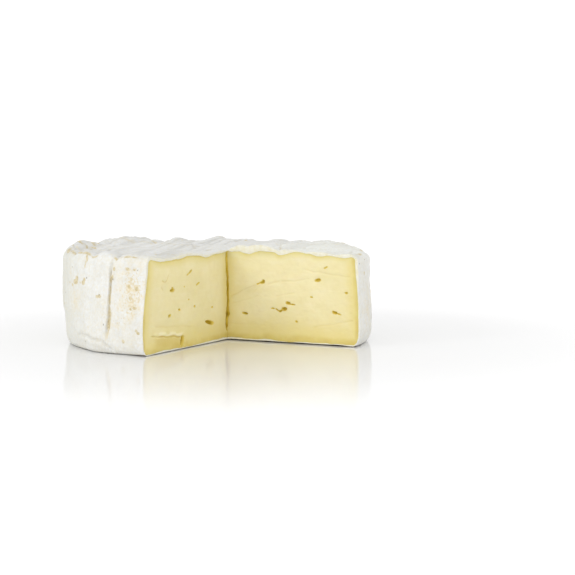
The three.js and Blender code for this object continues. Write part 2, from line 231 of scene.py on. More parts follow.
# The rind's cut edge stands a little proud of the paste: share of its thickness, and how far
RIND_PROUD = [(0.0, 0.0), (0.2, 0.08), (0.55, 0.14), (0.85, 0.05), (1.0, -0.12)]

# At the cuts the rind's foot lifts off the table and its top rounds over, and where the two meet
# it is drawn back into a notch
CUT_LIFT = {"along_x": 0.24, "along_y": 0.12, "reach": 4.2}
CUT_ROUND = {"drop": 0.35, "reach": 0.8}
NOTCH = {"depth": 1.1, "reach": 0.55, "turn": 112}

# The paste's edges, and how far it reaches into the rind
PASTE_TOP_EDGE = 1.2
PASTE_BOTTOM_EDGE = (1.8, 3.2)
PASTE_OVERLAP = 0.25

# How fast the paste turns paler away from the rind. Each top has a start and a growth for each
# millimetre down, the side and the bottom a growth, and the middle a growth away from the meeting.
# The middle's growth is painted shade: it keeps the paste dark in the inner corner where the cuts
# meet.
RIPE = {
    "top_along_x": (1.0, 2.0), "top_along_y": (0.45, 1.6),
    "side": 0.85, "bottom": 0.5, "middle": 0.8,
}

# Gas holes: distance out from where the knife met, height, width, height across, tilt, depth
HOLES_ALONG_Y = [
    (37.8, 20.5, 3.2, 1.1, 0, 1.1), (37.9, 21.0, 1.5, 1.2, 0, 1.0), (12.3, 7.1, 6.5, 1.6, 14, 1.3),
    (39.7, 12, 2.0, 1.1, -10, 0.8), (33.2, 13.5, 1.5, 0.8, 12, 0.5), (23, 13.8, 1.4, 0.8, 0, 0.5),
    (31.6, 2.6, 2.1, 4.2, 22, 1.5),
    (26.0, 26.0, 2.4, 0.9, -25, 0.6), (27.8, 25.2, 2.2, 0.6, -25, 0.4),
    (20.8, 21.4, 2.6, 0.8, -18, 0.5),
    (10.6, 12.4, 1.2, 0.7, 0, 0.4), (27, 16.5, 0.9, 0.6, 0, 0.3), (30, 21.1, 0.7, 0.5, 0, 0.25),
]
HOLES_ALONG_X = [
    (14.5, 21.3, 1.1, 1.5, 20, 0.9), (14.0, 20.8, 2.0, 0.9, 6, 0.8),
    (12.5, 20.4, 1.8, 0.5, 22, 0.5), (24.3, 14.0, 2.0, 1.2, -6, 0.9),
    (26.1, 13.6, 2.2, 0.5, -6, 0.6), (22.8, 11.9, 2.3, 1.3, 8, 1.2),
    (21.3, 11.1, 1.5, 0.8, 26, 0.9), (20.1, 11.4, 1.8, 0.6, -28, 0.7),
    (18.3, 11.9, 1.9, 0.45, -2, 0.5), (7.2, 9.6, 2.3, 0.9, -4, 0.9), (27.6, 7.6, 1.1, 0.7, 0, 0.5),
    (36, 22.5, 2.3, 1.1, 14, 0.8), (42.5, 11.5, 2.4, 1.1, -10, 1.0),
    (44.2, 11.0, 1.8, 0.5, -12, 0.5), (47, 18.5, 1.1, 0.8, 0, 0.6), (33.5, 16.5, 1.0, 0.7, 8, 0.5),
    (39, 27, 2.0, 0.5, 30, 0.4),
]

# Marks of the knife: first and last point of each as distance out and height, width, depth
DRAGS_ALONG_Y = [
    ((52, 6.2), (29.6, 4.0), 0.3, 0.35),
    ((50, 9.2), (24, 7.2), 0.5, 0.1),
    ((44.6, 24.2), (42.8, 23.6), 0.35, 0.2),
    ((42.8, 23.6), (41.4, 24.4), 0.35, 0.2),
    ((41.4, 24.4), (40.3, 26.2), 0.35, 0.15),
    ((45.2, 22.2), (44.2, 20.8), 0.4, 0.15),
]
DRAGS_ALONG_X = [
    ((1.2, 15.4), (6.4, 18.2), 0.28, 0.14),
    ((6.4, 18.2), (12, 20.1), 0.28, 0.12),
    ((10, 16.7), (12.7, 19.2), 0.25, 0.08),
    ((12.7, 19.2), (14.3, 20.2), 0.25, 0.08),
    ((16.2, 20.4), (21.1, 21.5), 0.28, 0.12),
    ((21.1, 21.5), (33, 22.8), 0.28, 0.1),
    ((1.6, 13.1), (12.7, 16.1), 0.3, 0.08),
    ((19, 16.0), (27, 18.0), 0.3, 0.08),
    ((1, 6.0), (12, 5.9), 0.4, 0.07),
    ((34, 6), (50, 9), 0.35, 0.1),
    ((30, 26), (49, 24), 0.35, 0.1),
]

# The flake smeared up along the first mark of the cut along y: its relief, how pale it is, and how
# dark the paste is just below it
FLAKE = {"rise": 0.36, "tall": 2.4, "pale": 1.5, "shade": 0.55}

# The slit where the knife ran past the meeting of the two cuts: height, and its two edges aside
SLIT_COURSE = [
    (2.6, -0.05, -0.05), (3.3, -0.2, 0.05), (4.1, -0.55, -0.05), (4.9, -0.6, 0.25),
    (6.1, -0.75, 0.1), (7.7, -0.7, 0.4), (9.3, -0.6, 0.95), (10.9, -0.35, 0.75), (12.5, -0.15, 0.7),
    (14.9, 0.0, 0.75), (16.5, -0.2, 0.7), (19.3, -0.25, 0.65), (22.5, -0.25, 0.5),
    (25.3, -0.6, 0.25), (28.1, -0.7, 0.1), (30.1, -0.65, 0.0), (31.6, -0.6, -0.2),
]

# How far from their meeting the plain columns of the faces begin, how deep the slit is for its
# width, how it slants, and how far a step to the left runs in the cut along y
SLIT = {"reach": 1.4, "deep": 0.8, "slant": 0.3, "along_y": 1.79}

# Places of deeper painted shade in the slit: height, how dark, reach
SLIT_BLOTS = [(5, 0.35, 1.1), (8.8, 0.3, 0.9), (19, 0.2, 2)]

# The slit's section from right to left: share of its width, depth, and how dark its painted shade
# is
SLIT_SECTION = [
    (1.0, 0.0, 0.2), (0.9, 0.18, 0.55), (0.74, 0.3, 0.35), (0.52, 0.4, 0.45), (0.34, 0.5, 1.0),
    (0.2, 0.5, 0.45), (0.08, 0.4, 1.1), (0.0, 0.0, 1.25),
]

# The rind's colours as seen, 0 to 255; a pair goes from one to the other in patches
RIND_COLOURS = {
    "side": [(233, 234, 232), (229, 228, 221)],
    # Painted shade: the side turns greyer towards the left, where less light reaches it
    "side_shaded_left": (209, 210, 200),
    # Painted shade and light: the top is a little greyer than the side, for the dimmer light from
    # overhead, and lighter towards the right
    "top": [(229, 230, 230), (223, 224, 222)],
    "top_lit_right": (237, 239, 234),
    "dull": (214, 214, 209),
    # Painted shade in the rind's crevices, folds and fine lines
    "crevice": (168, 166, 158),
    "blush": (233, 219, 184),
    "speck": (216, 196, 146),
    "worn": [(193, 175, 126), (218, 205, 168)],
    "prick": (150, 143, 122),
    "cut_edge": [(235, 233, 219), (230, 225, 198)],
    # Painted shade: a dark brown on the underside near the cuts, which deepens the shadow at the
    # foot
    "under": (92, 64, 18),
}

# The paste's colours, from its core out to its skin
PASTE_COLOURS = {
    "core": [(238, 228, 184), (233, 222, 172)],
    "streak": (240, 231, 196),
    "cloud": (224, 210, 158),
    "ripe": [(217, 198, 113), (228, 213, 144)],
    "skin": (210, 184, 96),
}

# What the marks of the paste and the painted shade of its hollows do to its colour: the number that
# tells of them, from and to which value, how strongly at each, and towards which colour
PASTE_MARKS = [
    ("dragged", 0.0, 1.0, 0.0, 0.7, (204, 178, 82)),
    ("dragged", -1.2, 0.0, 0.7, 0.0, (244, 236, 198)),
    ("hollow", 0.02, 0.3, 0.0, 0.95, (228, 205, 92)),
    ("hollow", 0.35, 0.9, 0.0, 0.95, (196, 166, 36)),
    ("hollow", 0.9, 1.4, 0.0, 0.9, (134, 102, 20)),
]

# The studio: how bright its walls are before and behind the cheese, which way before is, and what
# share the ceiling has
WALL_LIGHT = {"front": 1.42, "behind": 1.12, "before": (0.49, -0.87, 0)}
CEILING_SHARE = 0.64
KEY_LIGHT = {"place": (-0.55, -1.1, 0.55), "size": 0.4, "power": 2.4}

# The camera: its place in metres, and the angles by which it looks down and is turned
CAMERA = {"lens": 115.18, "sensor": 36, "place": (0.32184, -0.56903, 0.07533)}
CAMERA_ANGLES = {"down": 4.9668, "turned": 27.316}

# The table: half its side in metres, and its level, a hair below the cheese. From near the cheese
# to far from it, how pale it is, how much it glows and how much it shines. The glow is painted
# light; it dies out near the cheese, and the table is a hair less pale there, which paints a shade
# round it.
TABLE = {"half": 30.0, "level": -0.16, "near": 55, "far": 200}
TABLE_LOOK = {"pale": (0.85, 0.86), "painted_glow": (0.0, 0.22), "shine": (0.46, 0.05)}

# How fine the surfaces are. The side is finest between the angles of the front, and a surface out
# of sight has few columns, and fewer still where its share of the way out is small.
SIDE_STEP = 0.4
TOP_STEP = {"rim": 0.36, "middle": 0.62, "band": 15}
TOP_COLUMN_STEP = 0.5
FACE_STEP = 0.27
CREASE_STEP = 0.2
CREASE_REACH = 2.6
BACK_STEP = 0.62
FRONT = (190, 279)
HIDDEN_COLUMNS = {"out": 44, "middle": 12, "small": 0.25}
UNDERSIDE = {"step": 1.6, "columns": 100}


def smooth(value, low, high):
    """Rises from 0 to 1 as value goes from low to high."""
    share = np.clip((value - low) / (high - low), 0, 1)
    return share * share * (3 - 2 * share)


def between(value, rise_from, rise_to, fall_from, fall_to):
    """Rises from 0 to 1, and further on falls back to 0."""
    return smooth(value, rise_from, rise_to) * (1 - smooth(value, fall_from, fall_to))


def bell(offset):
    return np.exp(-offset * offset)


def turn_between(start, end):
    """The smaller turn from one angle to another, with its sign, in degrees."""
    turn = np.radians(end - start)
    return angle_at(np.cos(turn), np.sin(turn))


def near_angle(form, angle):
    """How near an angle is to a form's own, from 0 to 1."""
    return bell(turn_between(form["angle"], angle) / form["spread"])


def angle_at(x, y):
    """The angle about the axis of a place in plan."""
    return np.degrees(np.arctan2(y, x))


def arc(start, angle):
    """How far round the rim one angle is from another, in millimetres."""
    return np.radians(turn_between(start, angle)) * WHEEL_RADIUS


def from_meeting(x, y):
    """How far a place in plan is from where the two cuts meet."""
    return np.hypot(x - KNIFE_MEETS[0], y - KNIFE_MEETS[1])


def nearer_cut_along_x(x, y):
    return x - KNIFE_MEETS[0] > KNIFE_MEETS[1] - y


def off_segment(x, y, start, end):
    """How far each way a place is from a straight line, and its share of the way along it."""
    (ax, ay), (bx, by) = start, end
    dx, dy = bx - ax, by - ay
    share = np.clip(((x - ax) * dx + (y - ay) * dy) / (dx * dx + dy * dy), 0, 1)
    return x - ax - share * dx, y - ay - share * dy, share


def lattice(ix, iy, iz):
    """A fixed number from -1 to 1 for every corner of an endless grid."""
    mixed = (ix * 73856093) ^ (iy * 19349663) ^ (iz * 83492791)
    mixed = ((mixed ^ (mixed >> 13)) * 60493) & 0x7FFFFFFF
    mixed = ((mixed ^ (mixed >> 11)) * 48271) & 0x7FFFFFFF
    return (mixed % 20011) / 10005.0 - 1.0


def noise(x, y, z=0.0, seed=0):
    """Smooth bumps, one unit across, from -1 to 1."""
    x, y, z = np.broadcast_arrays(x + 31.7 * seed, y, z + 17.3 * seed)
    cell = [np.floor(part).astype(np.int64) for part in (x, y, z)]
    inside = [part - np.floor(part) for part in (x, y, z)]
    ease = [part * part * (3 - 2 * part) for part in inside]
    total = np.zeros(x.shape)
    for corner in np.ndindex(2, 2, 2):
        weight = np.ones(x.shape)
        for side, share in zip(corner, ease):
            weight = weight * (share if side else 1 - share)
        total += weight * lattice(*(at + side for at, side in zip(cell, corner)))
    return total


def crest(value, sharpness=3.0):
    """Narrow crests where the value passes through nought, from 0 to 1."""
    return np.clip(1 - np.abs(value) * sharpness, 0, 1) ** 1.5


def strew_dents():
    """Shallow dents and swellings of the top: place, rise and spread."""
    state = DENT_SEED
    draws = []
    for _ in range(4 * DENT_COUNT):
        state = state * 16807 % 2147483647
        draws.append(state / 2147483647)
    dents = []
    for i in range(DENT_COUNT):
        turn, reach, rise, spread = draws[4 * i:4 * i + 4]
        far = np.sqrt(reach) * WHEEL_RADIUS
        dents.append((
            far * np.cos(turn * 2 * np.pi),
            far * np.sin(turn * 2 * np.pi),
            (rise - 0.5) * DENT_SIZE["height"],
            DENT_SIZE["least"] + (DENT_SIZE["most"] - DENT_SIZE["least"]) * spread,
        ))
    return dents


DENTS = strew_dents()


def across_mat(x, y):
    return x + VALLEY_WOBBLE[0] * np.sin(y / VALLEY_WOBBLE[1] + x / 20)


def top_height(x, y):
    """The top's height in its main form, as the solid has it."""
    share = np.hypot(x, y) / WHEEL_RADIUS
    angle = angle_at(x, y)
    near_rim = smooth(share, 0.62, 0.96)
    height = RIM_HEIGHT - DISH_DEPTH * (1 - share * share) + RIDGE_LIFT
    across = across_mat(x, y)
    for place, depth in VALLEYS:
        strength = 0.8 + 0.2 * np.sin(y / 15 + place)
        height = height - depth * strength * np.exp(-np.abs(across - place) / VALLEY_WIDTH)
    turn = 2 * np.pi * (y - LONG_WAVE["crest"]) / LONG_WAVE["length"] + x / LONG_WAVE["slant"]
    height = height + LONG_WAVE["size"] * np.cos(turn)
    height = height + HIGH_SIDE[0] * smooth(-x, HIGH_SIDE[1], HIGH_SIDE[2])
    for dent_x, dent_y, rise, spread in DENTS:
        height = height + rise * bell(np.hypot(x - dent_x, y - dent_y) / spread)
    for fold_angle, rise, spread in RIM_FOLDS:
        height = height + near_rim * rise * bell(turn_between(fold_angle, angle) / spread)
    aside = (x - KNIFE_MEETS[0] - DRAWN_UP["out"]) / DRAWN_UP["half"]
    drawn = np.exp(-aside ** 4) * bell((y - KNIFE_MEETS[1]) / DRAWN_UP["reach"])
    height = height + DRAWN_UP["rise"] * drawn
    height = height - PRESSED["drop"] * bell(from_meeting(x, y) / PRESSED["reach"])
    return height - near_rim * SLUMP["drop"] * near_angle(SLUMP, angle)


def rim_place(x, y):
    """How far in from the rim a place on the top is, how far along it, and its angle."""
    angle = angle_at(x, y)
    return WHEEL_RADIUS - np.hypot(x, y), arc(RIM_WRINKLE["angle"], angle), angle


def rim_wrinkles(x, y):
    """Folds near the rim at one side of the wheel: their relief and their crevices."""
    inward, _, angle = rim_place(x, y)
    strength = near_angle(RIM_WRINKLE, angle) * between(inward, 0.5, 3, 9, 17)
    run = np.radians(RIM_WRINKLE["run"])
    along = x * np.cos(run) + y * np.sin(run)
    across = y * np.cos(run) - x * np.sin(run) + 1.2 * noise(along / 15, y / 9, seed=11)
    pattern = noise(across / RIM_WRINKLE["across"], along / RIM_WRINKLE["along"], seed=4)
    return strength * (np.abs(pattern) - 0.3), strength * crest(pattern, 4)


def rim_grooves(x, y):
    """The single folds inside the rim: their relief, how deep in one a place is, and how tan."""
    out = np.hypot(x, y)
    angle = angle_at(x, y) % 360
    relief, deep, tan = np.zeros((3, *x.shape))
    for radius, start, end, width, depth, tint in RIM_GROOVES:
        aside = out - radius - 0.9 * noise(angle / 6, radius, seed=32)
        present = between(angle, start, start + 7, end - 7, end)
        present = present * (0.4 + 0.6 * smooth(noise(angle / 2.5, radius, seed=47), -0.6, 0.5))
        groove = present * bell(aside / width)
        lip = present * bell((aside - 1.5 * width) / (1.5 * width))
        relief = relief + depth * (0.55 * lip - groove)
        deep = np.maximum(deep, groove)
        tan = np.maximum(tan, tint * present * bell((aside + 0.1) / (0.55 * width)))
    return relief, deep, tan


def top_grooves(x, y):
    """The single grooves of the top: their relief, how deep in one a place is, and how tan."""
    relief, deep, tan = np.zeros((3, *x.shape))
    sway_x = x + 0.8 * noise(x / 6, y / 6, seed=33) + 0.3 * noise(x / 2, y / 2, seed=43)
    sway_y = y + 0.8 * noise(x / 6, y / 6, seed=44) + 0.3 * noise(x / 2, y / 2, seed=45)
    strength = 0.25 + 0.75 * smooth(noise(x / 4.5, y / 4.5, seed=46), -0.6, 0.5)
    for points, width, depth, tint in TOP_GROOVES:
        near, bank = np.zeros((2, *x.shape))
        for part, (start, end) in enumerate(zip(points, points[1:])):
            off_x, off_y, share = off_segment(sway_x, sway_y, start, end)
            run = np.subtract(end, start)
            left = (run[0] * off_y - run[1] * off_x) / np.hypot(*run)
            apart = np.hypot(off_x, off_y)
            past_end = np.sqrt(np.maximum(apart ** 2 - left ** 2, 0))
            progress = (part + share) / (len(points) - 1)
            taper = strength * (0.2 + 0.8 * between(progress, 0, 0.35, 0.65, 1))
            near = np.maximum(near, taper * bell(apart / width))
            rise = bell((left - 1.6 * width) / (1.3 * width)) * bell(past_end / (2 * width))
            bank = np.maximum(bank, taper * rise)
        relief = relief + depth * (0.5 * bank - near)
        deep = np.maximum(deep, near)
        tan = np.maximum(tan, np.minimum(2.6 * tint * near, 0.9))
    return relief, deep, tan


def rim_pleats(x, y):
    """Folds that run in from the rim, all round."""
    inward, along, _ = rim_place(x, y)
    uneven = 0.6 + 0.4 * noise(along / 16, 0.4, seed=27)
    pattern = noise(along / RIM_PLEAT["across"], inward / RIM_PLEAT["along"], seed=28)
    return (1 - smooth(inward, 3, RIM_PLEAT["reach"])) * uneven * crest(pattern, 2.6)


def top_lines(x, y, sharpness):
    """Sharp creases that run along the mat's grooves."""
    across = across_mat(x, y) + TOP_LINE["slant"] * y
    uneven = 0.55 + 0.45 * noise(x / 13, y / 17, seed=29)
    strength = uneven * (0.45 + 0.55 * smooth(-x, -25, 15))
    pattern = noise(across / TOP_LINE["across"], y / TOP_LINE["along"], seed=2)
    return strength * crest(pattern, sharpness)


def top_grain(x, y):
    """The top's fine relief, over its main form."""
    across = across_mat(x, y)
    relief = TOP_FOLD["size"] * noise(across / TOP_FOLD["across"], y / TOP_FOLD["along"], seed=1)
    relief = relief - TOP_LINE["size"] * top_lines(x, y, 4)
    relief = relief + top_grooves(x, y)[0] + rim_grooves(x, y)[0]
    relief = relief + RIM_WRINKLE["size"] * rim_wrinkles(x, y)[0]
    relief = relief - RIM_PLEAT["size"] * rim_pleats(x, y)
    relief = relief + PIMPLE["size"] * noise(x / PIMPLE["on_top"], y / PIMPLE["on_top"], seed=3)
    return relief + GRAIN["size"] * noise(x / GRAIN["on_top"], y / GRAIN["on_top"], seed=5)


def crease_parts(crease, angle, height):
    """A crease's lip, floor and shaded edge, each from 0 to 1, at a place on the side."""
    at, lean, low, high, _ = crease
    aside = arc(at + lean * (height - RIM_HEIGHT / 2), angle)
    aside = aside + 0.12 * noise(height / 2.2, at, seed=6)
    fade = between(height, low, low + 6, high - 4, high)
    _, lip_from, lip_at = CREASE_LIP
    floor_from, floor_to, floor_turn, floor_end = CREASE_FLOOR
    wide = 0.42 + 0.58 * (1 - smooth(height, low + 5, low + 24))
    rough = 0.3 * noise(height / 1.3, at, seed=40) + 0.2 * noise(height / 0.6, at, seed=41)
    past_floor = smooth(aside - rough * wide, floor_turn * wide, floor_end * wide + 0.15)
    lip = between(aside, lip_from, lip_at, lip_at, floor_from)
    floor = smooth(aside, floor_from, floor_to) * (1 - past_floor)
    return fade * lip, fade * floor, fade * bell((aside - 0.12) / 0.2)


def line_nearness(angle, height, start, end, width):
    """How near a place on the side is to a line between two others, from 0 to 1."""
    aside = arc(start[0], angle) + 0.4 * noise(height / 1.9, start[0])
    line = (0, start[1]), (arc(start[0], end[0]), end[1])
    off_x, off_y, share = off_segment(aside, height, *line)
    return bell(np.hypot(off_x, off_y) / (width * (1 - 0.6 * share)))


def side_wrinkles(angle, height):
    """Fine upright wrinkles, which come and go round the side."""
    along = np.radians(angle % 360) * WHEEL_RADIUS
    strength = 0.5 + 0.5 * noise(along / 12, height / 9, seed=30)
    across = (along + 0.06 * height) / SIDE_WRINKLE["across"]
    return strength * crest(noise(across, height / SIDE_WRINKLE["along"], seed=8), 3)


def flap_parts(angle, height):
    """The flap's raised band and the groove above it, each from 0 to 1."""
    turned = angle % 360
    below = follow(turned, FLAP_EDGE) + 0.12 * noise(turned / 1.9, 0.5) - height
    present = between(turned, FLAP["from"], FLAP["from"] + 3, FLAP["to"] - 3, FLAP["to"])
    return present * between(below, 0, 0.35, 0.9, 2.8), present * bell((below + 0.3) / 0.4)


def side_grain(angle, height):
    """The side's fine relief, over its main form."""
    along = np.radians(angle % 360) * WHEEL_RADIUS
    relief = -SIDE_WRINKLE["size"] * side_wrinkles(angle, height)
    for size, across, seed in (
        (SIDE_SWELLING["size"], SIDE_SWELLING["across"], 7),
        (PIMPLE["size"], PIMPLE["on_side"], 9),
        (GRAIN["size"], GRAIN["on_side"], 10),
    ):
        relief = relief + size * noise(along / across, height / across, seed=seed)
    for start, end, width, depth in CRACKS:
        relief = relief - depth * line_nearness(angle, height, start, end, width)
    step = STEP["size"] * near_angle(STEP, angle)
    relief = relief - step * (1 - smooth(height, STEP["from"], STEP["to"]))
    band, groove = flap_parts(angle, height)
    return relief + FLAP["rise"] * band - FLAP["groove"] * groove


def side_radius(angle, height, creased=True):
    """The side's distance from the wheel's axis, in its main form."""
    radius = WHEEL_RADIUS - BELLY["size"] * ((height - BELLY["height"]) / BELLY["reach"]) ** 2
    for waves, size, turn in OUT_OF_ROUND:
        radius = radius + size * np.cos(waves * np.radians(angle) + turn)
    for swell_angle, swell_height, rise, wide, tall in SIDE_SWELLS:
        aside = arc(swell_angle, angle) / wide
        radius = radius + rise * bell(aside) * bell((height - swell_height) / tall)
    lean = LEAN_IN["least"] + LEAN_IN["more"] * near_angle(LEAN_IN, angle)
    radius = radius - lean * (height / RIM_HEIGHT) ** 2
    radius = radius - SLUMP["inward"] * near_angle(SLUMP, angle)
    if creased:
        for crease in CREASES:
            lip, floor, _ = crease_parts(crease, angle, height)
            radius = radius + CREASE_LIP[0] * lip - crease[4] * floor
    return radius


def ray_length(direction, radius):
    """How far a ray from where the knife met runs before it is a distance from the axis."""
    along = KNIFE_MEETS[0] * np.cos(direction) + KNIFE_MEETS[1] * np.sin(direction)
    off = KNIFE_MEETS[0] ** 2 + KNIFE_MEETS[1] ** 2
    return -along + np.sqrt(along * along - off + radius * radius)


def along_ray(direction, length):
    return KNIFE_MEETS[0] + length * np.cos(direction), KNIFE_MEETS[1] + length * np.sin(direction)


def rim_angle(direction):
    """The angle about the axis at which a ray from where the knife met reaches the rim."""
    return angle_at(*along_ray(direction, ray_length(direction, WHEEL_RADIUS))) % 360


def direction_of(angle):
    """The ray, in radians, that reaches the rim at an angle about the axis."""
    x = WHEEL_RADIUS * np.cos(np.radians(angle)) - KNIFE_MEETS[0]
    y = WHEEL_RADIUS * np.sin(np.radians(angle)) - KNIFE_MEETS[1]
    return np.arctan2(y, x) % (2 * np.pi)


def bottom_corner(turn, wide, tall):
    """A level of a rounded bottom edge, from nought at the underside to a quarter turn."""
    out, up = np.sin(turn), -np.cos(turn)
    return wide * (1 - out), tall * (1 + up), out, up


def top_corner(turn, edge):
    """A level of a rounded top edge, from nought at the side to a quarter turn."""
    out, up = np.cos(turn), np.sin(turn)
    return edge * (1 - out), RIM_HEIGHT - edge * (1 - up), out, up


def profile(step, top_edge, bottom_edge, corner_step):
    """Levels from the underside's edge, round the side, to the top's edge.

    Each is its distance in from the side, its height, and how far it faces out and up.
    """
    wide, tall = bottom_edge
    side = RIM_HEIGHT - top_edge - tall
    lengths = (wide + tall) * 0.8 / corner_step, side / step, top_edge * 1.57 / corner_step
    low, middle, high = [int(np.ceil(length)) for length in lengths]
    levels = [bottom_corner(i / low * np.pi / 2, wide, tall) for i in range(low)]
    levels += [(0.0, tall + side * i / middle, 1.0, 0.0) for i in range(middle)]
    return levels + [top_corner(i / high * np.pi / 2, top_edge) for i in range(high + 1)]


def distance_from_cut(x, y):
    """How far in from the nearer cut face a place in plan is."""
    behind_x = np.where(x > KNIFE_MEETS[0], y - KNIFE_MEETS[1], 1e3)
    behind_y = np.where(y < KNIFE_MEETS[1], KNIFE_MEETS[0] - x, 1e3)
    return np.minimum(np.abs(np.minimum(behind_x, behind_y)), from_meeting(x, y))


def rind_place(direction, share, level):
    """A point of the rind's outer surface."""
    inset, height, out, up = level
    angle = rim_angle(direction)
    radius = side_radius(angle, height) - inset + out * side_grain(angle, height)
    x, y = along_ray(direction, share * ray_length(direction, radius))
    z = height / RIM_HEIGHT * top_height(x, y) + max(up, 0) * top_grain(x, y)
    from_cut = distance_from_cut(x, y)
    z = z - max(up, 0) * CUT_ROUND["drop"] * bell(from_cut / CUT_ROUND["reach"])
    lift = np.where(nearer_cut_along_x(x, y), CUT_LIFT["along_x"], CUT_LIFT["along_y"])
    lift = lift * (1 + 0.35 * noise(x / 4, y / 4, seed=12)) * bell(from_cut / CUT_LIFT["reach"])
    z = z + lift * (1 - smooth(height, 0, 3)) * smooth(radius - np.hypot(x, y), 0.5, 5)
    return np.stack(np.broadcast_arrays(x, y, z), axis=-1)


def follow(s, points):
    """A smooth line through points given as distance out and height."""
    at, heights = np.array(points, float).T
    step = np.clip(np.searchsorted(at, s, side="right") - 1, 0, len(at) - 2)
    share = smooth(s, at[step], at[step + 1])
    return heights[step] + (heights[step + 1] - heights[step]) * share


def cut_heights(x, y):
    """The heights at which the paste ends at the bottom and the top of the cut face at a place."""
    out_x, out_y = x - KNIFE_MEETS[0], KNIFE_MEETS[1] - y
    ragged = 0.1 * noise(x / 1.7, y / 1.7, seed=13)
    heights = []
    for along_x, along_y in PASTE_BOTTOM, PASTE_TOP:
        level = np.where(nearer_cut_along_x(x, y), follow(out_x, along_x), follow(out_y, along_y))
        heights.append(level + ragged)
    return heights


def rind_side(height):
    """How thick the rind is at the cuts' outer edges."""
    thick = RIND_SIDE["foot"] + (RIND_SIDE["top"] - RIND_SIDE["foot"]) * smooth(height, 14, 32)
    return thick + 0.15 * noise(height / 5, 0.8, seed=14)


def inner_place(direction, share, level, at_cut, overlap):
    """A point where rind meets paste: thin at the cuts, deeper out of sight between them."""
    inset, height, _, _ = level
    side = side_radius(rim_angle(direction), height, creased=False)
    radius = np.where(at_cut, side - rind_side(height), side - RIND_DEEP["side"]) - inset + overlap
    x, y = along_ray(direction, share * ray_length(direction, radius))
    share_out = np.hypot(x, y) / WHEEL_RADIUS
    paste_low, paste_high = cut_heights(x, y)
    low = np.where(at_cut, paste_low, RIND_DEEP["bottom"]) - overlap
    deep_top = RIM_HEIGHT - DISH_DEPTH * (1 - share_out * share_out) - RIND_DEEP["top"]
    high = np.where(at_cut, paste_high, deep_top) + overlap
    z = low + (high - low) * height / RIM_HEIGHT
    return np.stack(np.broadcast_arrays(x, y, z), axis=-1)


class Shape:
    """Points, faces and values that build up to one mesh."""

    def __init__(self):
        self.points = []
        self.faces = []
        self.count = 0

    def add(self, points):
        """Adds points and returns their numbers."""
        points = np.atleast_2d(points)
        self.points.append(points)
        self.count += len(points)
        return np.arange(self.count - len(points), self.count)

    def stitch(self, low, high, flip=False):
        """Fills the band between two rows of (directions, numbers), whichever is longer."""
        (a_turn, a), (b_turn, b) = low, high
        i = j = 0
        while i < len(a) - 1 or j < len(b) - 1:
            a_next = a_turn[i + 1] if i < len(a) - 1 else np.inf
            b_next = b_turn[j + 1] if j < len(b) - 1 else np.inf
            if abs(a_next - b_next) < 1e-9:
                face = (a[i], a[i + 1], b[j + 1], b[j])
                i += 1
                j += 1
            elif a_next < b_next:
                face = (a[i], a[i + 1], b[j])
                i += 1
            else:
                face = (a[i], b[j + 1], b[j])
                j += 1
            self.faces.append(face[::-1] if flip else face)

    def strip(self, first, second):
        """Joins two columns of the same length with quads."""
        for k in range(len(first) - 1):
            self.faces.append((first[k], first[k + 1], second[k + 1], second[k]))

    def mesh(self, name, sharp):
        """The finished mesh, in metres, shaded smooth but for edges sharper than an angle."""
        made = bpy.data.meshes.new(name)
        points = np.concatenate(self.points)
        faces = [[int(n) for n in face] for face in self.faces]
        made.from_pydata((points * MM).tolist(), [], faces)
        made.validate()
        made.polygons.foreach_set("use_smooth", [True] * len(made.polygons))
        made.set_sharp_from_angle(angle=np.radians(sharp))
        made.update()
        return made


def give(mesh, **numbers):
    """Stores numbers for each point, for the material to read."""
    for name, values in numbers.items():
        attribute = mesh.attributes.new(name, "FLOAT", "POINT")
        attribute.data.foreach_set("value", values.astype(np.float32))


def places(mesh):
    """Where a mesh's points are, in millimetres."""
    points = np.empty(len(mesh.vertices) * 3)
    mesh.vertices.foreach_get("co", points)
    return (points.reshape(-1, 3) / MM).T


def even_directions(count):
    return np.linspace(0, CUT_SPAN, count + 1)


def fine_directions():
    """The rind's columns: closer together at the front, and closest across each crease."""
    columns = []
    at = 0.0
    while at < CUT_SPAN:
        columns.append(at)
        angle = rim_angle(np.array([at]))[0]
        at += (SIDE_STEP if FRONT[0] < angle < FRONT[1] else BACK_STEP) / WHEEL_RADIUS
    columns = np.array(columns + [CUT_SPAN])
    crossing = [direction_of(crease[0]) for crease in CREASES]
    clear = [np.abs(columns - at) * WHEEL_RADIUS > CREASE_REACH + SIDE_STEP / 2 for at in crossing]
    kept = columns[np.all(clear, axis=0)]
    beside = np.arange(-CREASE_REACH, CREASE_REACH + 0.01, CREASE_STEP) / WHEEL_RADIUS
    return np.sort(np.concatenate([kept] + [at + beside for at in crossing]))


def leaning(directions, height):
    """Columns at a height, turned so that those beside a crease lean with it."""
    turned = directions.copy()
    for at, lean, _, _, _ in CREASES:
        near = bell((directions - direction_of(at)) / np.radians(7))
        turned = turned + near * np.radians(lean) * (height - RIM_HEIGHT / 2)
    turned[0], turned[-1] = directions[0], directions[-1]
    return turned


def notch(points):
    """Draws the rind back where the two cuts meet, into a small notch."""
    pull = NOTCH["depth"] * bell(from_meeting(points[:, 0], points[:, 1]) / NOTCH["reach"])
    pull = pull * smooth(points[:, 2], 31, 32.6)
    turn = np.radians(NOTCH["turn"])
    points[:, 0] += pull * np.cos(turn)
    points[:, 1] += pull * np.sin(turn)
    return points


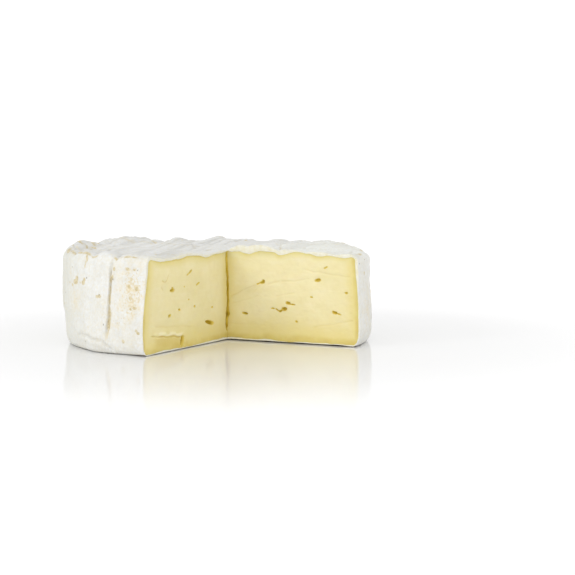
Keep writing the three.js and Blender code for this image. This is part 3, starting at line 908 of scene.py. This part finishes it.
def shell_rows():
    """The rind's rows from the middle of the underside, up the side, to the middle of the top.

    Each is its share of the way out, its level, and its count of columns where they are even.
    """
    levels = profile(SIDE_STEP, TOP_EDGE, BOTTOM_EDGE, SIDE_STEP)
    rings = int(WHEEL_RADIUS / UNDERSIDE["step"])
    shares = [ring / rings for ring in range(rings)]
    rows = [(share, levels[0], max(3, int(UNDERSIDE["columns"] * share))) for share in shares]
    rows += [(1.0, level, None) for level in levels]
    across = CUT_SPAN * WHEEL_RADIUS / TOP_COLUMN_STEP
    inward = TOP_STEP["rim"]
    while inward < WHEEL_RADIUS - TOP_STEP["middle"]:
        share = 1 - inward / WHEEL_RADIUS
        rows.append((share, levels[-1], max(3, int(across * share))))
        inward += TOP_STEP["rim"] if inward < TOP_STEP["band"] else TOP_STEP["middle"]
    return rows + [(0, levels[-1], 1)]


def row_directions(row, fine):
    """A row's columns; the rows at the very middle have one point."""
    share, level, count = row
    if share == 0:
        return np.array([0.0])
    return even_directions(count) if count else leaning(fine, level[1])


def hidden_directions(share):
    """The few columns of a row out of sight; the rows at the very middle have one point."""
    if share == 0:
        return np.array([0.0])
    return even_directions(HIDDEN_COLUMNS["out" if share > HIDDEN_COLUMNS["small"] else "middle"])


def outward_lift(first, lift, share):
    """How far a cut edge stands proud, away from its face; at the middle from both faces."""
    if share == 0:
        return np.array([lift, -lift, 0.0])
    return np.array([0.0, -lift, 0.0]) if first else np.array([lift, 0.0, 0.0])


def raise_ends(points, lift, share):
    """Makes the ends of a row stand proud of the cut faces."""
    points[0] += outward_lift(True, lift, share)
    if share > 0:
        points[-1] += outward_lift(False, lift, share)
    return points


def add_cut_edge(shape, rows, outer, inner, first):
    """The rind's cut edge between its outer and inner surface, rounded and a little proud."""
    pick = 0 if first else -1
    placed = np.concatenate(shape.points)
    columns = [[] for _ in RIND_PROUD]
    for (share_out, _, _), (_, outside), (_, inside) in zip(rows, outer, inner):
        start, end = placed[outside[pick]], placed[inside[pick]]
        columns[0].append(outside[pick])
        columns[-1].append(inside[pick])
        for c, (share, proud) in enumerate(RIND_PROUD[1:-1], start=1):
            at = start + (end - start) * share
            wave = float(noise(at[0] / 3 + c, at[1] / 3, at[2] / 3, seed=16))
            lift = outward_lift(first, proud * (1 + 0.5 * wave), share_out)
            columns[c].append(shape.add(at + lift)[0])
    for one, other in zip(columns, columns[1:]):
        shape.strip(*((one, other) if first else (other, one)))


def make_rind():
    shape = Shape()
    fine = fine_directions()
    rows = shell_rows()
    outer, inner = [], []
    for row in rows:
        share, level, _ = row
        directions = row_directions(row, fine)
        points = raise_ends(rind_place(directions, share, level), RIND_PROUD[0][1], share)
        outer.append((directions, shape.add(points)))
    for share, level, _ in rows:
        directions = hidden_directions(share)
        at_cut = (directions == directions[0]) | (directions == directions[-1])
        points = inner_place(directions, share, inner_level(level), at_cut, 0.0)
        inner.append((directions, shape.add(raise_ends(points, RIND_PROUD[-1][1], share))))
    for k in range(len(rows) - 1):
        shape.stitch(outer[k], outer[k + 1])
        shape.stitch(inner[k], inner[k + 1], flip=True)
    for first in (True, False):
        add_cut_edge(shape, rows, outer, inner, first)
    shape.points = [notch(np.concatenate(shape.points))]
    mesh = shape.mesh("rind", sharp=55)
    upward = [np.full(len(numbers), level[3]) for (_, level, _), (_, numbers) in zip(rows, outer)]
    give_rind_values(mesh, np.concatenate(upward))
    return mesh


def inner_level(level):
    """The level of the paste's profile that faces a level of the rind's."""
    _, height, out, up = level
    if up < 0:
        return bottom_corner(np.arcsin(np.clip(out, 0, 1)), *PASTE_BOTTOM_EDGE)
    if up > 0:
        return top_corner(np.arcsin(np.clip(up, 0, 1)), PASTE_TOP_EDGE)
    low, high = BOTTOM_EDGE[1], RIM_HEIGHT - TOP_EDGE
    share = (height - low) / (high - low)
    inner_low, inner_high = PASTE_BOTTOM_EDGE[1], RIM_HEIGHT - PASTE_TOP_EDGE
    return 0.0, inner_low + (inner_high - inner_low) * share, out, up


def crease_bare_and_shaded(crease, z):
    """How much a crease shows at a height, both its tan floor bare of bloom and its painted shade:
    its top end is white.
    """
    return 1 - smooth(z, crease[3] - 8, crease[3] - 4)


def side_worn(angle, z):
    """How worn to tan a place on the side is."""
    patchy = 0.36 + 0.35 * noise(z / 1.4, angle * 1.5, seed=42)
    worn = []
    for crease in CREASES:
        worn.append(patchy * crease_bare_and_shaded(crease, z) * crease_parts(crease, angle, z)[1])
    for start, end, width, depth in CRACKS:
        worn.append(2.5 * depth * line_nearness(angle, z, start, end, width))
    for at, height, wide, tall in WORN_SPOTS:
        away = np.hypot(arc(at, angle) / wide, (z - height) / tall)
        worn.append(1.15 * np.clip(1.5 - away, 0, 1))
    return np.maximum.reduce(worn)


def side_crevices(angle, z):
    """How much painted shade a place on the side gets in its folds: the creases' shaded edges, the
    wrinkles and the groove above the flap.
    """
    deep = [0.7 * crease_bare_and_shaded(crease, z) * crease_parts(crease, angle, z)[2] for crease in CREASES]
    return np.maximum.reduce(deep + [0.25 * side_wrinkles(angle, z), 0.6 * flap_parts(angle, z)[1]])


def rim_streaks(angle, upward):
    """How tan a place is where the side meets the top."""
    along = np.radians(angle) * WHEEL_RADIUS
    share = smooth(angle, STREAK_UP["from"], STREAK_UP["to"])
    middle = STREAK_UP["left"] + (STREAK_UP["right"] - STREAK_UP["left"]) * share
    band = bell((upward - middle - 0.12 * noise(along / 4, 0.6, seed=34)) / STREAK_UP["width"])
    broken = smooth(noise(along / 1.6, upward * 5, seed=35), -0.9, 0.1)
    streaks = np.zeros(len(angle))
    for at, reach, strength in RIM_STREAKS:
        streaks = np.maximum(streaks, strength * np.exp(-(arc(at, angle) / reach) ** 4))
    return streaks * band * (upward > 0) * broken


def give_rind_values(mesh, facing_up):
    """How worn, how specked, how much on top and how much on the cut edge each point is, and how
    much painted shade it gets in its crevices and under its foot near the cuts.
    """
    x, y, z = places(mesh)
    angle = angle_at(x, y) % 360
    upward = np.zeros(len(x))
    upward[:len(facing_up)] = facing_up
    on_side, on_top = smooth(-np.abs(upward), -0.9, -0.5), smooth(upward, 0.5, 0.95)
    from_cut = distance_from_cut(x, y)
    wrinkled = rim_wrinkles(x, y)[1]
    _, round_rim, rim_tan = rim_grooves(x, y)
    _, grooved, groove_tan = top_grooves(x, y)
    worn = [
        side_worn(angle, z) * on_side,
        rim_streaks(angle, upward),
        0.9 * wrinkled ** 2 * smooth(noise(x / 4, y / 4, seed=31), -0.2, 0.3) * on_top,
        np.maximum(groove_tan, rim_tan) * smooth(noise(x / 3, y / 3, seed=36), -0.5, 0.2) * on_top,
    ]
    # Painted shade along the top's lines, pleats, wrinkles and grooves
    top_line_shade = [top_lines(x, y, 2.2), rim_pleats(x, y), wrinkled, 0.6 * grooved, 0.6 * round_rim]
    specks = [
        strength * bell(arc(at, angle) / wide) * bell((z - height) / tall)
        for at, height, wide, tall, strength in SPECK_PATCHES
    ]
    cut = 0.75 * bell(from_cut / 0.9) * smooth(upward, 0, 0.6)
    cut[len(facing_up):] = 1
    give(
        mesh,
        worn=np.maximum.reduce(worn),
        specks=np.maximum.reduce(specks) * on_side,
        topside=smooth(upward, 0.55, 1.0),
        # Painted light: the cut along y takes less cream, standing in for the different light on
        # that face
        cut_edge=cut * np.where(nearer_cut_along_x(x, y), 1.0, 0.65),
        crevice=np.maximum(side_crevices(angle, z) * on_side, np.maximum.reduce(top_line_shade) * on_top),
        # Painted shade under the foot near the cuts
        under=smooth(-upward, 0.9, 0.99) * bell(from_cut / 5),
    )


def mark_nearness(s, z, start, end, width):
    """How near a place on a cut face is to a straight mark, from 0 to 1."""
    off_s, off_z, share = off_segment(s, z, start, end)
    return bell(np.hypot(off_s, off_z) / width) * (0.35 + 0.65 * between(share, 0, 0.06, 0.94, 1))


def hole_depth(s, z, holes):
    """How deep the gas holes go at a place on a cut face, and how much painted shade they get
    there.
    """
    depth, dark = np.zeros((2, *s.shape))
    for n, (out, height, width, tall, tilt, deep) in enumerate(holes):
        turn = np.radians(tilt)
        p = ((s - out) * np.cos(turn) + (z - height) * np.sin(turn)) * 2 / width
        q = (-(s - out) * np.sin(turn) + (z - height) * np.cos(turn)) * 2 / tall
        ragged = 0.22 * noise(p * 0.9, q * 0.9, 3.1 * n, seed=17)
        ragged = ragged + 0.12 * noise(p * 2.2, q * 2.2, n, seed=18)
        reach = np.hypot(p, q) / (1 + ragged)
        depth = np.maximum(depth, deep * (1 - smooth(reach, 0.7, 1.05)))
        # Painted shade: darker in deep holes and towards their upper edge
        shaded = 0.5 + 0.35 * deep + 0.3 * np.clip(q, -1, 1)
        dark = np.maximum(dark, shaded * (1 - smooth(reach, 0.65, 1.1)))
    return depth, dark


def flake_parts(s, z, start, end):
    """How much of the flake above a mark is at a place, and of the shade below the mark."""
    (far, far_z), (near, near_z) = start, end
    edge = near_z + (s - near) * (far_z - near_z) / (far - near) + 0.5 * noise(s / 3, 0.7, seed=20)
    above = z - edge
    along = between(s, near - 1, near + 3, far - 5, far)
    patchy = smooth(noise(s / 3.4, z / 1.6, seed=37), -0.5, 0.3)
    flaked = patchy * along * between(above, 0.2, 0.6, 0.9, FLAKE["tall"])
    return flaked, along * between(-above, 0.1, 0.5, 2, 5)


def face_relief(s, z, holes, drags, flake):
    """How far a cut face lies in behind its plane, how much painted shade its hollows get, and how
    dragged it is.
    """
    inward, hollow = hole_depth(s, z, holes)
    dragged = np.zeros(s.shape)
    uneven = z + 0.35 * noise(s / 2.5, 0.3, seed=19)
    for start, end, width, depth in drags:
        near = mark_nearness(s, uneven, start, end, width)
        inward = inward + depth * near
        dragged = np.maximum(dragged, near * min(1.0, depth * 3))
    if flake:
        flaked, shade = flake_parts(s, z, *drags[0][:2])
        inward = inward - FLAKE["rise"] * flaked
        dragged = dragged - FLAKE["pale"] * flaked
        dragged = np.where(shade > 0, np.maximum(dragged, FLAKE["shade"] * shade), dragged)
    inward = inward + 0.16 * noise(s / 11, z / 9, seed=21) + 0.05 * noise(s / 5, z / 1.6, seed=22)
    return inward + 0.03 * noise(s / 1.0, z / 0.8, seed=23), hollow, dragged


def slit_column(apex, aside, depth):
    """The meeting's column moved aside: to the right in one face, and to the left in the other."""
    made = apex.copy()
    made[:, 0] += np.maximum(aside, 0) - SLIT["slant"] * depth
    made[:, 1] += np.minimum(aside, 0) * SLIT["along_y"] + depth
    return made


def slit_columns(apex):
    """The columns of the slit from the first face round to the second, and how much painted shade
    each gets.
    """
    z = apex[:, 2]
    ends = np.clip((z[-1] - z) / 0.8, 0, 1) * smooth(z, 2.4, 3.2)
    left, right = [follow(z, [(point[0], point[side]) for point in SLIT_COURSE]) for side in (1, 2)]
    left = (left + 0.14 * noise(z / 1.1, 0.4, seed=26)) * ends
    ragged = 0.2 * noise(z / 1.3, 0.5, seed=38) + 0.14 * noise(z / 0.7, 0.2, seed=48)
    right = np.maximum((right + ragged) * ends, left + 0.02)
    blots = sum(size * bell((z - height) / reach) for height, size, reach in SLIT_BLOTS)
    none = np.zeros(len(z))
    before = [(slit_column(apex, aside, none), none) for aside in (right + 0.22, right + 0.07)]
    inside = []
    for share, depth, dark in SLIT_SECTION:
        deep = depth * SLIT["deep"] * np.sqrt(right - left) * ends
        # Painted shade inside the slit, darkest at its left wall and in the blots
        shade = dark + 0.25 * noise(z / 1.2, 3 * share, seed=39) + blots
        shade = np.clip(shade * smooth(right - left, 0.05, 0.3), 0, 1.4)
        inside.append((slit_column(apex, left + (right - left) * share, deep), shade))
    beyond = left - 0.07, np.minimum(left - 0.2, -0.3)
    return before + inside + [(slit_column(apex, aside, none), none) for aside in beyond]


def make_paste():
    shape = Shape()
    levels = profile(FACE_STEP, PASTE_TOP_EDGE, PASTE_BOTTOM_EDGE, FACE_STEP * 1.5)
    shares = np.linspace(1, 0, int(WHEEL_RADIUS / FACE_STEP))[:-1]
    shares = shares[shares * WHEEL_RADIUS > SLIT["reach"]]
    faces = [
        (0.0, HOLES_ALONG_X, DRAGS_ALONG_X, False, np.array([0.0, 1.0, 0.0])),
        (CUT_SPAN, HOLES_ALONG_Y, DRAGS_ALONG_Y, True, np.array([-1.0, 0.0, 0.0])),
    ]
    columns, hollows = [], []
    for direction, holes, drags, flake, inward in faces:
        ray = np.full(len(shares), direction)
        grid = [inner_place(ray, shares, level, True, PASTE_OVERLAP) for level in levels]
        grid = np.stack(grid, axis=1)
        s = from_meeting(grid[..., 0], grid[..., 1])
        depth, hollow, dragged = face_relief(s, grid[..., 2], holes, drags, flake)
        grid = grid + (depth * smooth(s, 0.3, 1.5))[..., None] * inward
        columns.append([shape.add(column) for column in grid])
        hollows.append((hollow, dragged))
    middle = np.array([0.0])
    apex = [inner_place(middle, 0.0, level, True, PASTE_OVERLAP)[0] for level in levels]
    apex = np.stack(apex)
    slit = [(shape.add(column), hollow) for column, hollow in slit_columns(apex)]
    slit_numbers = [numbers for numbers, _ in slit]
    ordered = columns[0] + slit_numbers + columns[1][::-1]
    for first, second in zip(ordered, ordered[1:]):
        shape.strip(first, second)
    face_count = shape.count
    add_hidden(shape, levels, shares, columns, slit_numbers)
    mesh = shape.mesh("paste", sharp=80)
    give_paste_values(mesh, face_count, hollows, [hollow for _, hollow in slit])
    return mesh


def add_hidden(shape, levels, shares, columns, slit_numbers):
    """The paste's surface inside the rind, which closes it."""
    first, second = columns
    inward = range(1, len(shares))
    rows = [(shares[k], levels[0], first[k][0], second[k][0]) for k in reversed(inward)]
    rows += [(1.0, level, first[0][j], second[0][j]) for j, level in enumerate(levels)]
    rows += [(shares[k], levels[-1], first[k][-1], second[k][-1]) for k in inward]
    made = []
    for share, level, start, end in rows:
        directions = hidden_directions(share)
        points = inner_place(directions[1:-1], share, level, False, PASTE_OVERLAP)
        middle = shape.add(points)
        made.append((directions, np.concatenate([[start], middle, [end]])))
    for low, high in zip(made, made[1:]):
        shape.stitch(low, high)
    turns = np.linspace(0, CUT_SPAN, len(slit_numbers))
    shape.stitch((turns, [numbers[0] for numbers in slit_numbers]), made[0])
    shape.stitch(made[-1], (turns, [numbers[-1] for numbers in slit_numbers]))


def give_paste_values(mesh, face_count, hollows, slit_hollow):
    """How far from the rind, how much painted shade of the hollows and the slit, and how dragged
    each point of the cut faces is.
    """
    x, y, z = places(mesh)
    low, high = cut_heights(x, y)
    radius = side_radius(angle_at(x, y), z, creased=False)
    side = (radius - rind_side(z) - np.hypot(x, y)) * RIPE["side"]
    tops = [RIPE[name][0] + (high - z) * RIPE[name][1] for name in ("top_along_x", "top_along_y")]
    edge = np.minimum(np.where(nearer_cut_along_x(x, y), *tops), side)
    # Painted shade: the paste stays dark near where the cuts meet
    bottom = np.minimum((z - low) * RIPE["bottom"], 0.8 + from_meeting(x, y) * RIPE["middle"])
    inside = np.clip(np.minimum(edge, bottom), 0, 12)
    inside[face_count:] = 0
    hollow, dragged = np.zeros((2, len(x)))
    on_faces = [np.concatenate([part[n].reshape(-1) for part in hollows]) for n in (0, 1)]
    hollow[:face_count] = np.concatenate([on_faces[0], *slit_hollow])
    dragged[:len(on_faces[1])] = on_faces[1]
    give(mesh, inside=inside, hollow=hollow, dragged=dragged)


def srgb(red, green, blue):
    """A colour as seen, 0 to 255, as the linear light that materials take."""
    share = np.array([red, green, blue]) / 255
    linear = np.where(share <= 0.04045, share / 12.92, ((share + 0.055) / 1.055) ** 2.4)
    return (*linear.tolist(), 1.0)


class Nodes:
    """A short way to write the nodes of a material or a world."""

    def __init__(self, owner):
        self.owner = owner
        self.owner.use_nodes = True
        self.tree = self.owner.node_tree
        self.tree.nodes.clear()
        self.place = self.add("TexCoord").outputs["Object"]

    def add(self, kind, inputs=None, **settings):
        made = self.tree.nodes.new("ShaderNode" + kind)
        for name, value in settings.items():
            setattr(made, name, value)
        for socket, value in (inputs or {}).items():
            if isinstance(value, bpy.types.NodeSocket):
                self.tree.links.new(value, made.inputs[socket])
            else:
                made.inputs[socket].default_value = value
        return made

    def value(self, name):
        """A number that each point of the mesh carries."""
        return self.add("Attribute", attribute_name=name).outputs["Fac"]

    def noise(self, size, detail=2.0, stretch=(1, 1, 1), roughness=0.55, shift=0.0):
        """Soft noise whose bumps are about a size across, in millimetres."""
        scale = [1 / (MM * size * part) for part in stretch]
        mapping = {"Vector": self.place, "Scale": scale, "Location": (shift, shift, shift)}
        moved = self.add("Mapping", mapping).outputs[0]
        settings = {"Vector": moved, "Scale": 1.0, "Detail": detail, "Roughness": roughness}
        return self.add("TexNoise", settings).outputs["Fac"]

    def ramp(self, value, low, high, to_low=0.0, to_high=1.0):
        """Rises smoothly from to_low to to_high as value goes from low to high."""
        settings = {"Value": value, "From Min": low, "From Max": high}
        settings |= {"To Min": to_low, "To Max": to_high}
        return self.add("MapRange", settings, interpolation_type="SMOOTHSTEP").outputs[0]

    def math(self, operation, *values):
        return self.add("Math", dict(enumerate(values)), operation=operation).outputs[0]

    def times(self, value, share):
        return self.math("MULTIPLY", value, share)

    def mix(self, share, first, second):
        """Goes from the first colour to the second."""
        return self.add("Mix", {0: share, 6: first, 7: second}, data_type="RGBA").outputs[2]

    def blend(self, share, pair):
        """Goes from one colour to another, both given as seen."""
        return self.mix(share, *[srgb(*colour) for colour in pair])

    def tint(self, colour, share, towards):
        """Draws a colour towards another, given as seen, by a share."""
        return self.mix(share, colour, srgb(*towards))

    def finish(self, shader, output="OutputMaterial"):
        self.add(output, {"Surface": shader.outputs[0]})
        return self.owner


def rind_colour(nodes, fine, blotch):
    """The bloom's whites, with painted shade at the left and on the top and painted light on the
    top towards the right, and over them the dull places, painted shade in the crevices, and the
    specked and worn places.
    """
    seen = RIND_COLOURS
    mottle = nodes.ramp(nodes.noise(8, 3), 0.3, 0.75)
    across = nodes.add("SeparateXYZ", {0: nodes.place}).outputs["X"]
    # Painted shade: the side darkens towards the left
    left_shade = nodes.ramp(across, -50 * MM, -15 * MM, 0.7, 0.0)
    side = nodes.tint(nodes.blend(mottle, seen["side"]), left_shade, seen["side_shaded_left"])
    # Painted light: the top turns lighter towards the right; the top's own whites are a painted
    # shade greyer than the side's
    right_light = nodes.ramp(across, -10 * MM, 35 * MM, 0.0, 0.9)
    top = nodes.tint(nodes.blend(mottle, seen["top"]), right_light, seen["top_lit_right"])
    colour = nodes.mix(nodes.value("topside"), side, top)
    dull = nodes.ramp(nodes.noise(1.7, 4, roughness=0.65, shift=7.0), 0.4, 0.75)
    colour = nodes.tint(colour, nodes.times(dull, 0.4), seen["dull"])
    # Painted shade in the crevices
    colour = nodes.tint(colour, nodes.times(nodes.value("crevice"), 0.55), seen["crevice"])

    specked = nodes.value("specks")
    specks = nodes.math("ADD", nodes.times(specked, 0.34), nodes.noise(0.8, 2, shift=2.0))
    blush = nodes.times(specked, nodes.ramp(blotch, 0.35, 0.75))
    colour = nodes.tint(colour, nodes.times(blush, 0.85), seen["blush"])
    colour = nodes.tint(colour, nodes.times(nodes.ramp(specks, 0.76, 0.93), 0.6), seen["speck"])

    ragged = nodes.math("MULTIPLY_ADD", fine, 0.7, 0.15)
    worn = nodes.ramp(nodes.math("ADD", nodes.value("worn"), ragged), 0.4, 0.95)
    tan = nodes.blend(nodes.ramp(fine, 0.35, 0.65), seen["worn"])
    return nodes.mix(nodes.times(worn, 0.85), colour, tan)


def rind_pricks(nodes):
    """Tiny dark pricks, here and there on the side."""
    cells = nodes.add("TexVoronoi", {"Vector": nodes.place, "Scale": 1 / (3.2 * MM)})
    chance = nodes.add("SeparateColor", {0: cells.outputs["Color"]}).outputs[0]
    on_side = nodes.math("SUBTRACT", 1.0, nodes.value("topside"))
    chosen = nodes.times(nodes.ramp(chance, 0.6, 0.62), on_side)
    return nodes.times(nodes.ramp(cells.outputs["Distance"], 0.07, 0.13, 1.0, 0.0), chosen)


def rind_material():
    nodes = Nodes(bpy.data.materials.new("bloomy rind"))
    fine = nodes.noise(0.9, 3, shift=4.0)
    blotch = nodes.noise(2.6, 3, shift=9.0)
    prick = rind_pricks(nodes)
    colour = rind_colour(nodes, fine, blotch)
    colour = nodes.tint(colour, nodes.times(prick, 0.7), RIND_COLOURS["prick"])
    uneven = nodes.ramp(nodes.noise(1.8, 3, shift=3.0), 0.35, 0.7)
    cream = nodes.blend(uneven, RIND_COLOURS["cut_edge"])
    colour = nodes.mix(nodes.value("cut_edge"), colour, cream)
    # Painted shade under the foot near the cuts
    colour = nodes.tint(colour, nodes.value("under"), RIND_COLOURS["under"])
    bumps = nodes.math("ADD", nodes.noise(0.8, 4), nodes.times(nodes.noise(2.4, 3), 1.4))
    bumps = nodes.math("SUBTRACT", bumps, nodes.times(prick, 0.6))
    bump = nodes.add("Bump", {"Height": bumps, "Strength": 0.8, "Distance": 0.25 * MM})
    return nodes.finish(nodes.add("BsdfPrincipled", {
        "Base Color": colour,
        "Roughness": nodes.ramp(blotch, 0.3, 0.7, 0.78, 0.92),
        "Specular IOR Level": 0.25,
        "Sheen Weight": 0.04,
        "Sheen Roughness": 0.5,
        "Subsurface Weight": 0.08,
        "Subsurface Scale": 0.001,
        "Subsurface Radius": (1.0, 0.9, 0.7),
        "Normal": bump.outputs[0],
    }))


def paste_colour(nodes):
    """Ripe and dark near the rind, pale at the core, and over that the marks and hollows."""
    seen = PASTE_COLOURS
    inside = nodes.value("inside")
    uneven = nodes.math("ADD", inside, nodes.math("MULTIPLY_ADD", nodes.noise(5, 3), 1.6, 0.5))
    mottle = nodes.ramp(nodes.noise(14, 3), 0.35, 0.65)
    streak = nodes.ramp(nodes.noise(2.2, 3, stretch=(4, 4, 0.6)), 0.45, 0.75)
    cloud = nodes.ramp(nodes.noise(2.4, 4, roughness=0.6, shift=11.0), 0.4, 0.7)
    core = nodes.tint(nodes.blend(mottle, seen["core"]), nodes.times(streak, 0.35), seen["streak"])
    core = nodes.tint(core, nodes.times(cloud, 0.22), seen["cloud"])
    ripe = nodes.blend(nodes.ramp(uneven, 0.8, 2.8), seen["ripe"])
    colour = nodes.mix(nodes.ramp(uneven, 1.8, 6.5), ripe, core)
    patchy = nodes.ramp(nodes.noise(7.0, 2, shift=6.0), 0.42, 0.64)
    skin = nodes.times(nodes.ramp(inside, 0.3, 1.2, 0.5, 0.0), patchy)
    colour = nodes.tint(colour, skin, seen["skin"])
    for name, low, high, to_low, to_high, towards in PASTE_MARKS:
        share = nodes.ramp(nodes.value(name), low, high, to_low, to_high)
        colour = nodes.tint(colour, share, towards)
    return colour


def paste_material():
    nodes = Nodes(bpy.data.materials.new("ripened paste"))
    bumps = nodes.math("ADD", nodes.noise(0.5, 3), nodes.times(nodes.noise(3.0, 3), 1.5))
    bump = nodes.add("Bump", {"Height": bumps, "Strength": 0.35, "Distance": 0.12 * MM})
    return nodes.finish(nodes.add("BsdfPrincipled", {
        "Base Color": paste_colour(nodes),
        "Roughness": nodes.ramp(nodes.noise(2.0, 3, shift=5.0), 0.3, 0.7, 0.38, 0.52),
        "Specular IOR Level": 0.4,
        "Subsurface Weight": 0.3,
        "Subsurface Scale": 0.002,
        "Subsurface Radius": (1.0, 0.8, 0.35),
        "Normal": bump.outputs[0],
    }))


def floor_material():
    """A white table, palest and least shiny far from the cheese. Its glow is painted light, none
    near the cheese, so that painted shade lies round it.
    """
    nodes = Nodes(bpy.data.materials.new("white table"))
    away = nodes.add("VectorMath", {0: nodes.place}, operation="LENGTH").outputs["Value"]
    near, far = TABLE["near"] * MM, TABLE["far"] * MM
    pale, painted_glow, shine = [nodes.ramp(away, near, far, *look) for look in TABLE_LOOK.values()]
    white = nodes.add("CombineColor", {0: pale, 1: pale, 2: pale}).outputs[0]
    matt = nodes.add("BsdfDiffuse", {"Color": white})
    # Painted light: the table glows, and not at all near the cheese, which paints a shade round it
    light = nodes.add("Emission", {"Strength": painted_glow})
    lit = nodes.add("AddShader", {0: matt.outputs[0], 1: light.outputs[0]})
    gloss = nodes.add("BsdfAnisotropic", {"Color": (1, 1, 1, 1), "Roughness": 0.1})
    both = nodes.add("MixShader", {0: shine, 1: lit.outputs[0], 2: gloss.outputs[0]})
    return nodes.finish(both)


def add_object(name, mesh, material=None):
    made = bpy.data.objects.new(name, mesh)
    bpy.context.scene.collection.objects.link(made)
    if material:
        made.data.materials.append(material)
    return made


def add_cheese():
    pieces = ("rind", make_rind, rind_material), ("paste", make_paste, paste_material)
    for name, make, material in pieces:
        piece = add_object(name, make(), material())
        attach(piece, "root")
        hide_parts("cheese_wheel")


def add_floor():
    half, level = TABLE["half"], TABLE["level"] * MM
    corners = [(-half, -half), (half, -half), (half, half), (-half, half)]
    mesh = bpy.data.meshes.new("table")
    mesh.from_pydata([(x, y, level) for x, y in corners], [], [(0, 1, 2, 3)])
    add_object("table", mesh, floor_material())


def add_camera():
    data = bpy.data.cameras.new("camera")
    data.lens = CAMERA["lens"]
    data.sensor_width = CAMERA["sensor"]
    camera = add_object("camera", data)
    camera.location = CAMERA["place"]
    tilt, turn = 90 - CAMERA_ANGLES["down"], CAMERA_ANGLES["turned"]
    camera.rotation_euler = (np.radians(tilt), 0, np.radians(turn))
    bpy.context.scene.camera = camera


def add_world():
    """An evenly lit white studio: brightest before the cheese, dimmest overhead."""
    nodes = Nodes(bpy.data.worlds.new("white studio"))
    direction = nodes.add("TexCoord").outputs["Generated"]
    vectors = {0: direction, 1: WALL_LIGHT["before"]}
    before = nodes.add("VectorMath", vectors, operation="DOT_PRODUCT")
    height = nodes.add("SeparateXYZ", {0: direction}).outputs["Z"]
    walls = nodes.add("MapRange", {
        "Value": before.outputs["Value"],
        "From Min": -1,
        "To Min": WALL_LIGHT["behind"],
        "To Max": WALL_LIGHT["front"],
    })
    overhead = nodes.add("MapRange", {"Value": height, "To Min": 1.0, "To Max": CEILING_SHARE})
    strength = nodes.times(walls.outputs[0], overhead.outputs[0])
    light = nodes.add("Background", {"Color": (1, 1, 1, 1), "Strength": strength})
    bpy.context.scene.world = nodes.finish(light, "OutputWorld")


def add_light():
    """The studio's walls, and a soft light in front at the left, which faces the cheese."""
    add_world()
    data = bpy.data.lights.new("key", "AREA")
    data.shape = "DISK"
    data.size = KEY_LIGHT["size"]
    data.energy = KEY_LIGHT["power"]
    light = add_object("key", data)
    light.location = KEY_LIGHT["place"]
    light.rotation_euler = (-Vector(KEY_LIGHT["place"])).to_track_quat("-Z", "Y").to_euler()
    bpy.context.scene.view_settings.view_transform = "Standard"


add_camera()
add_light()
add_floor()
add_cheese()
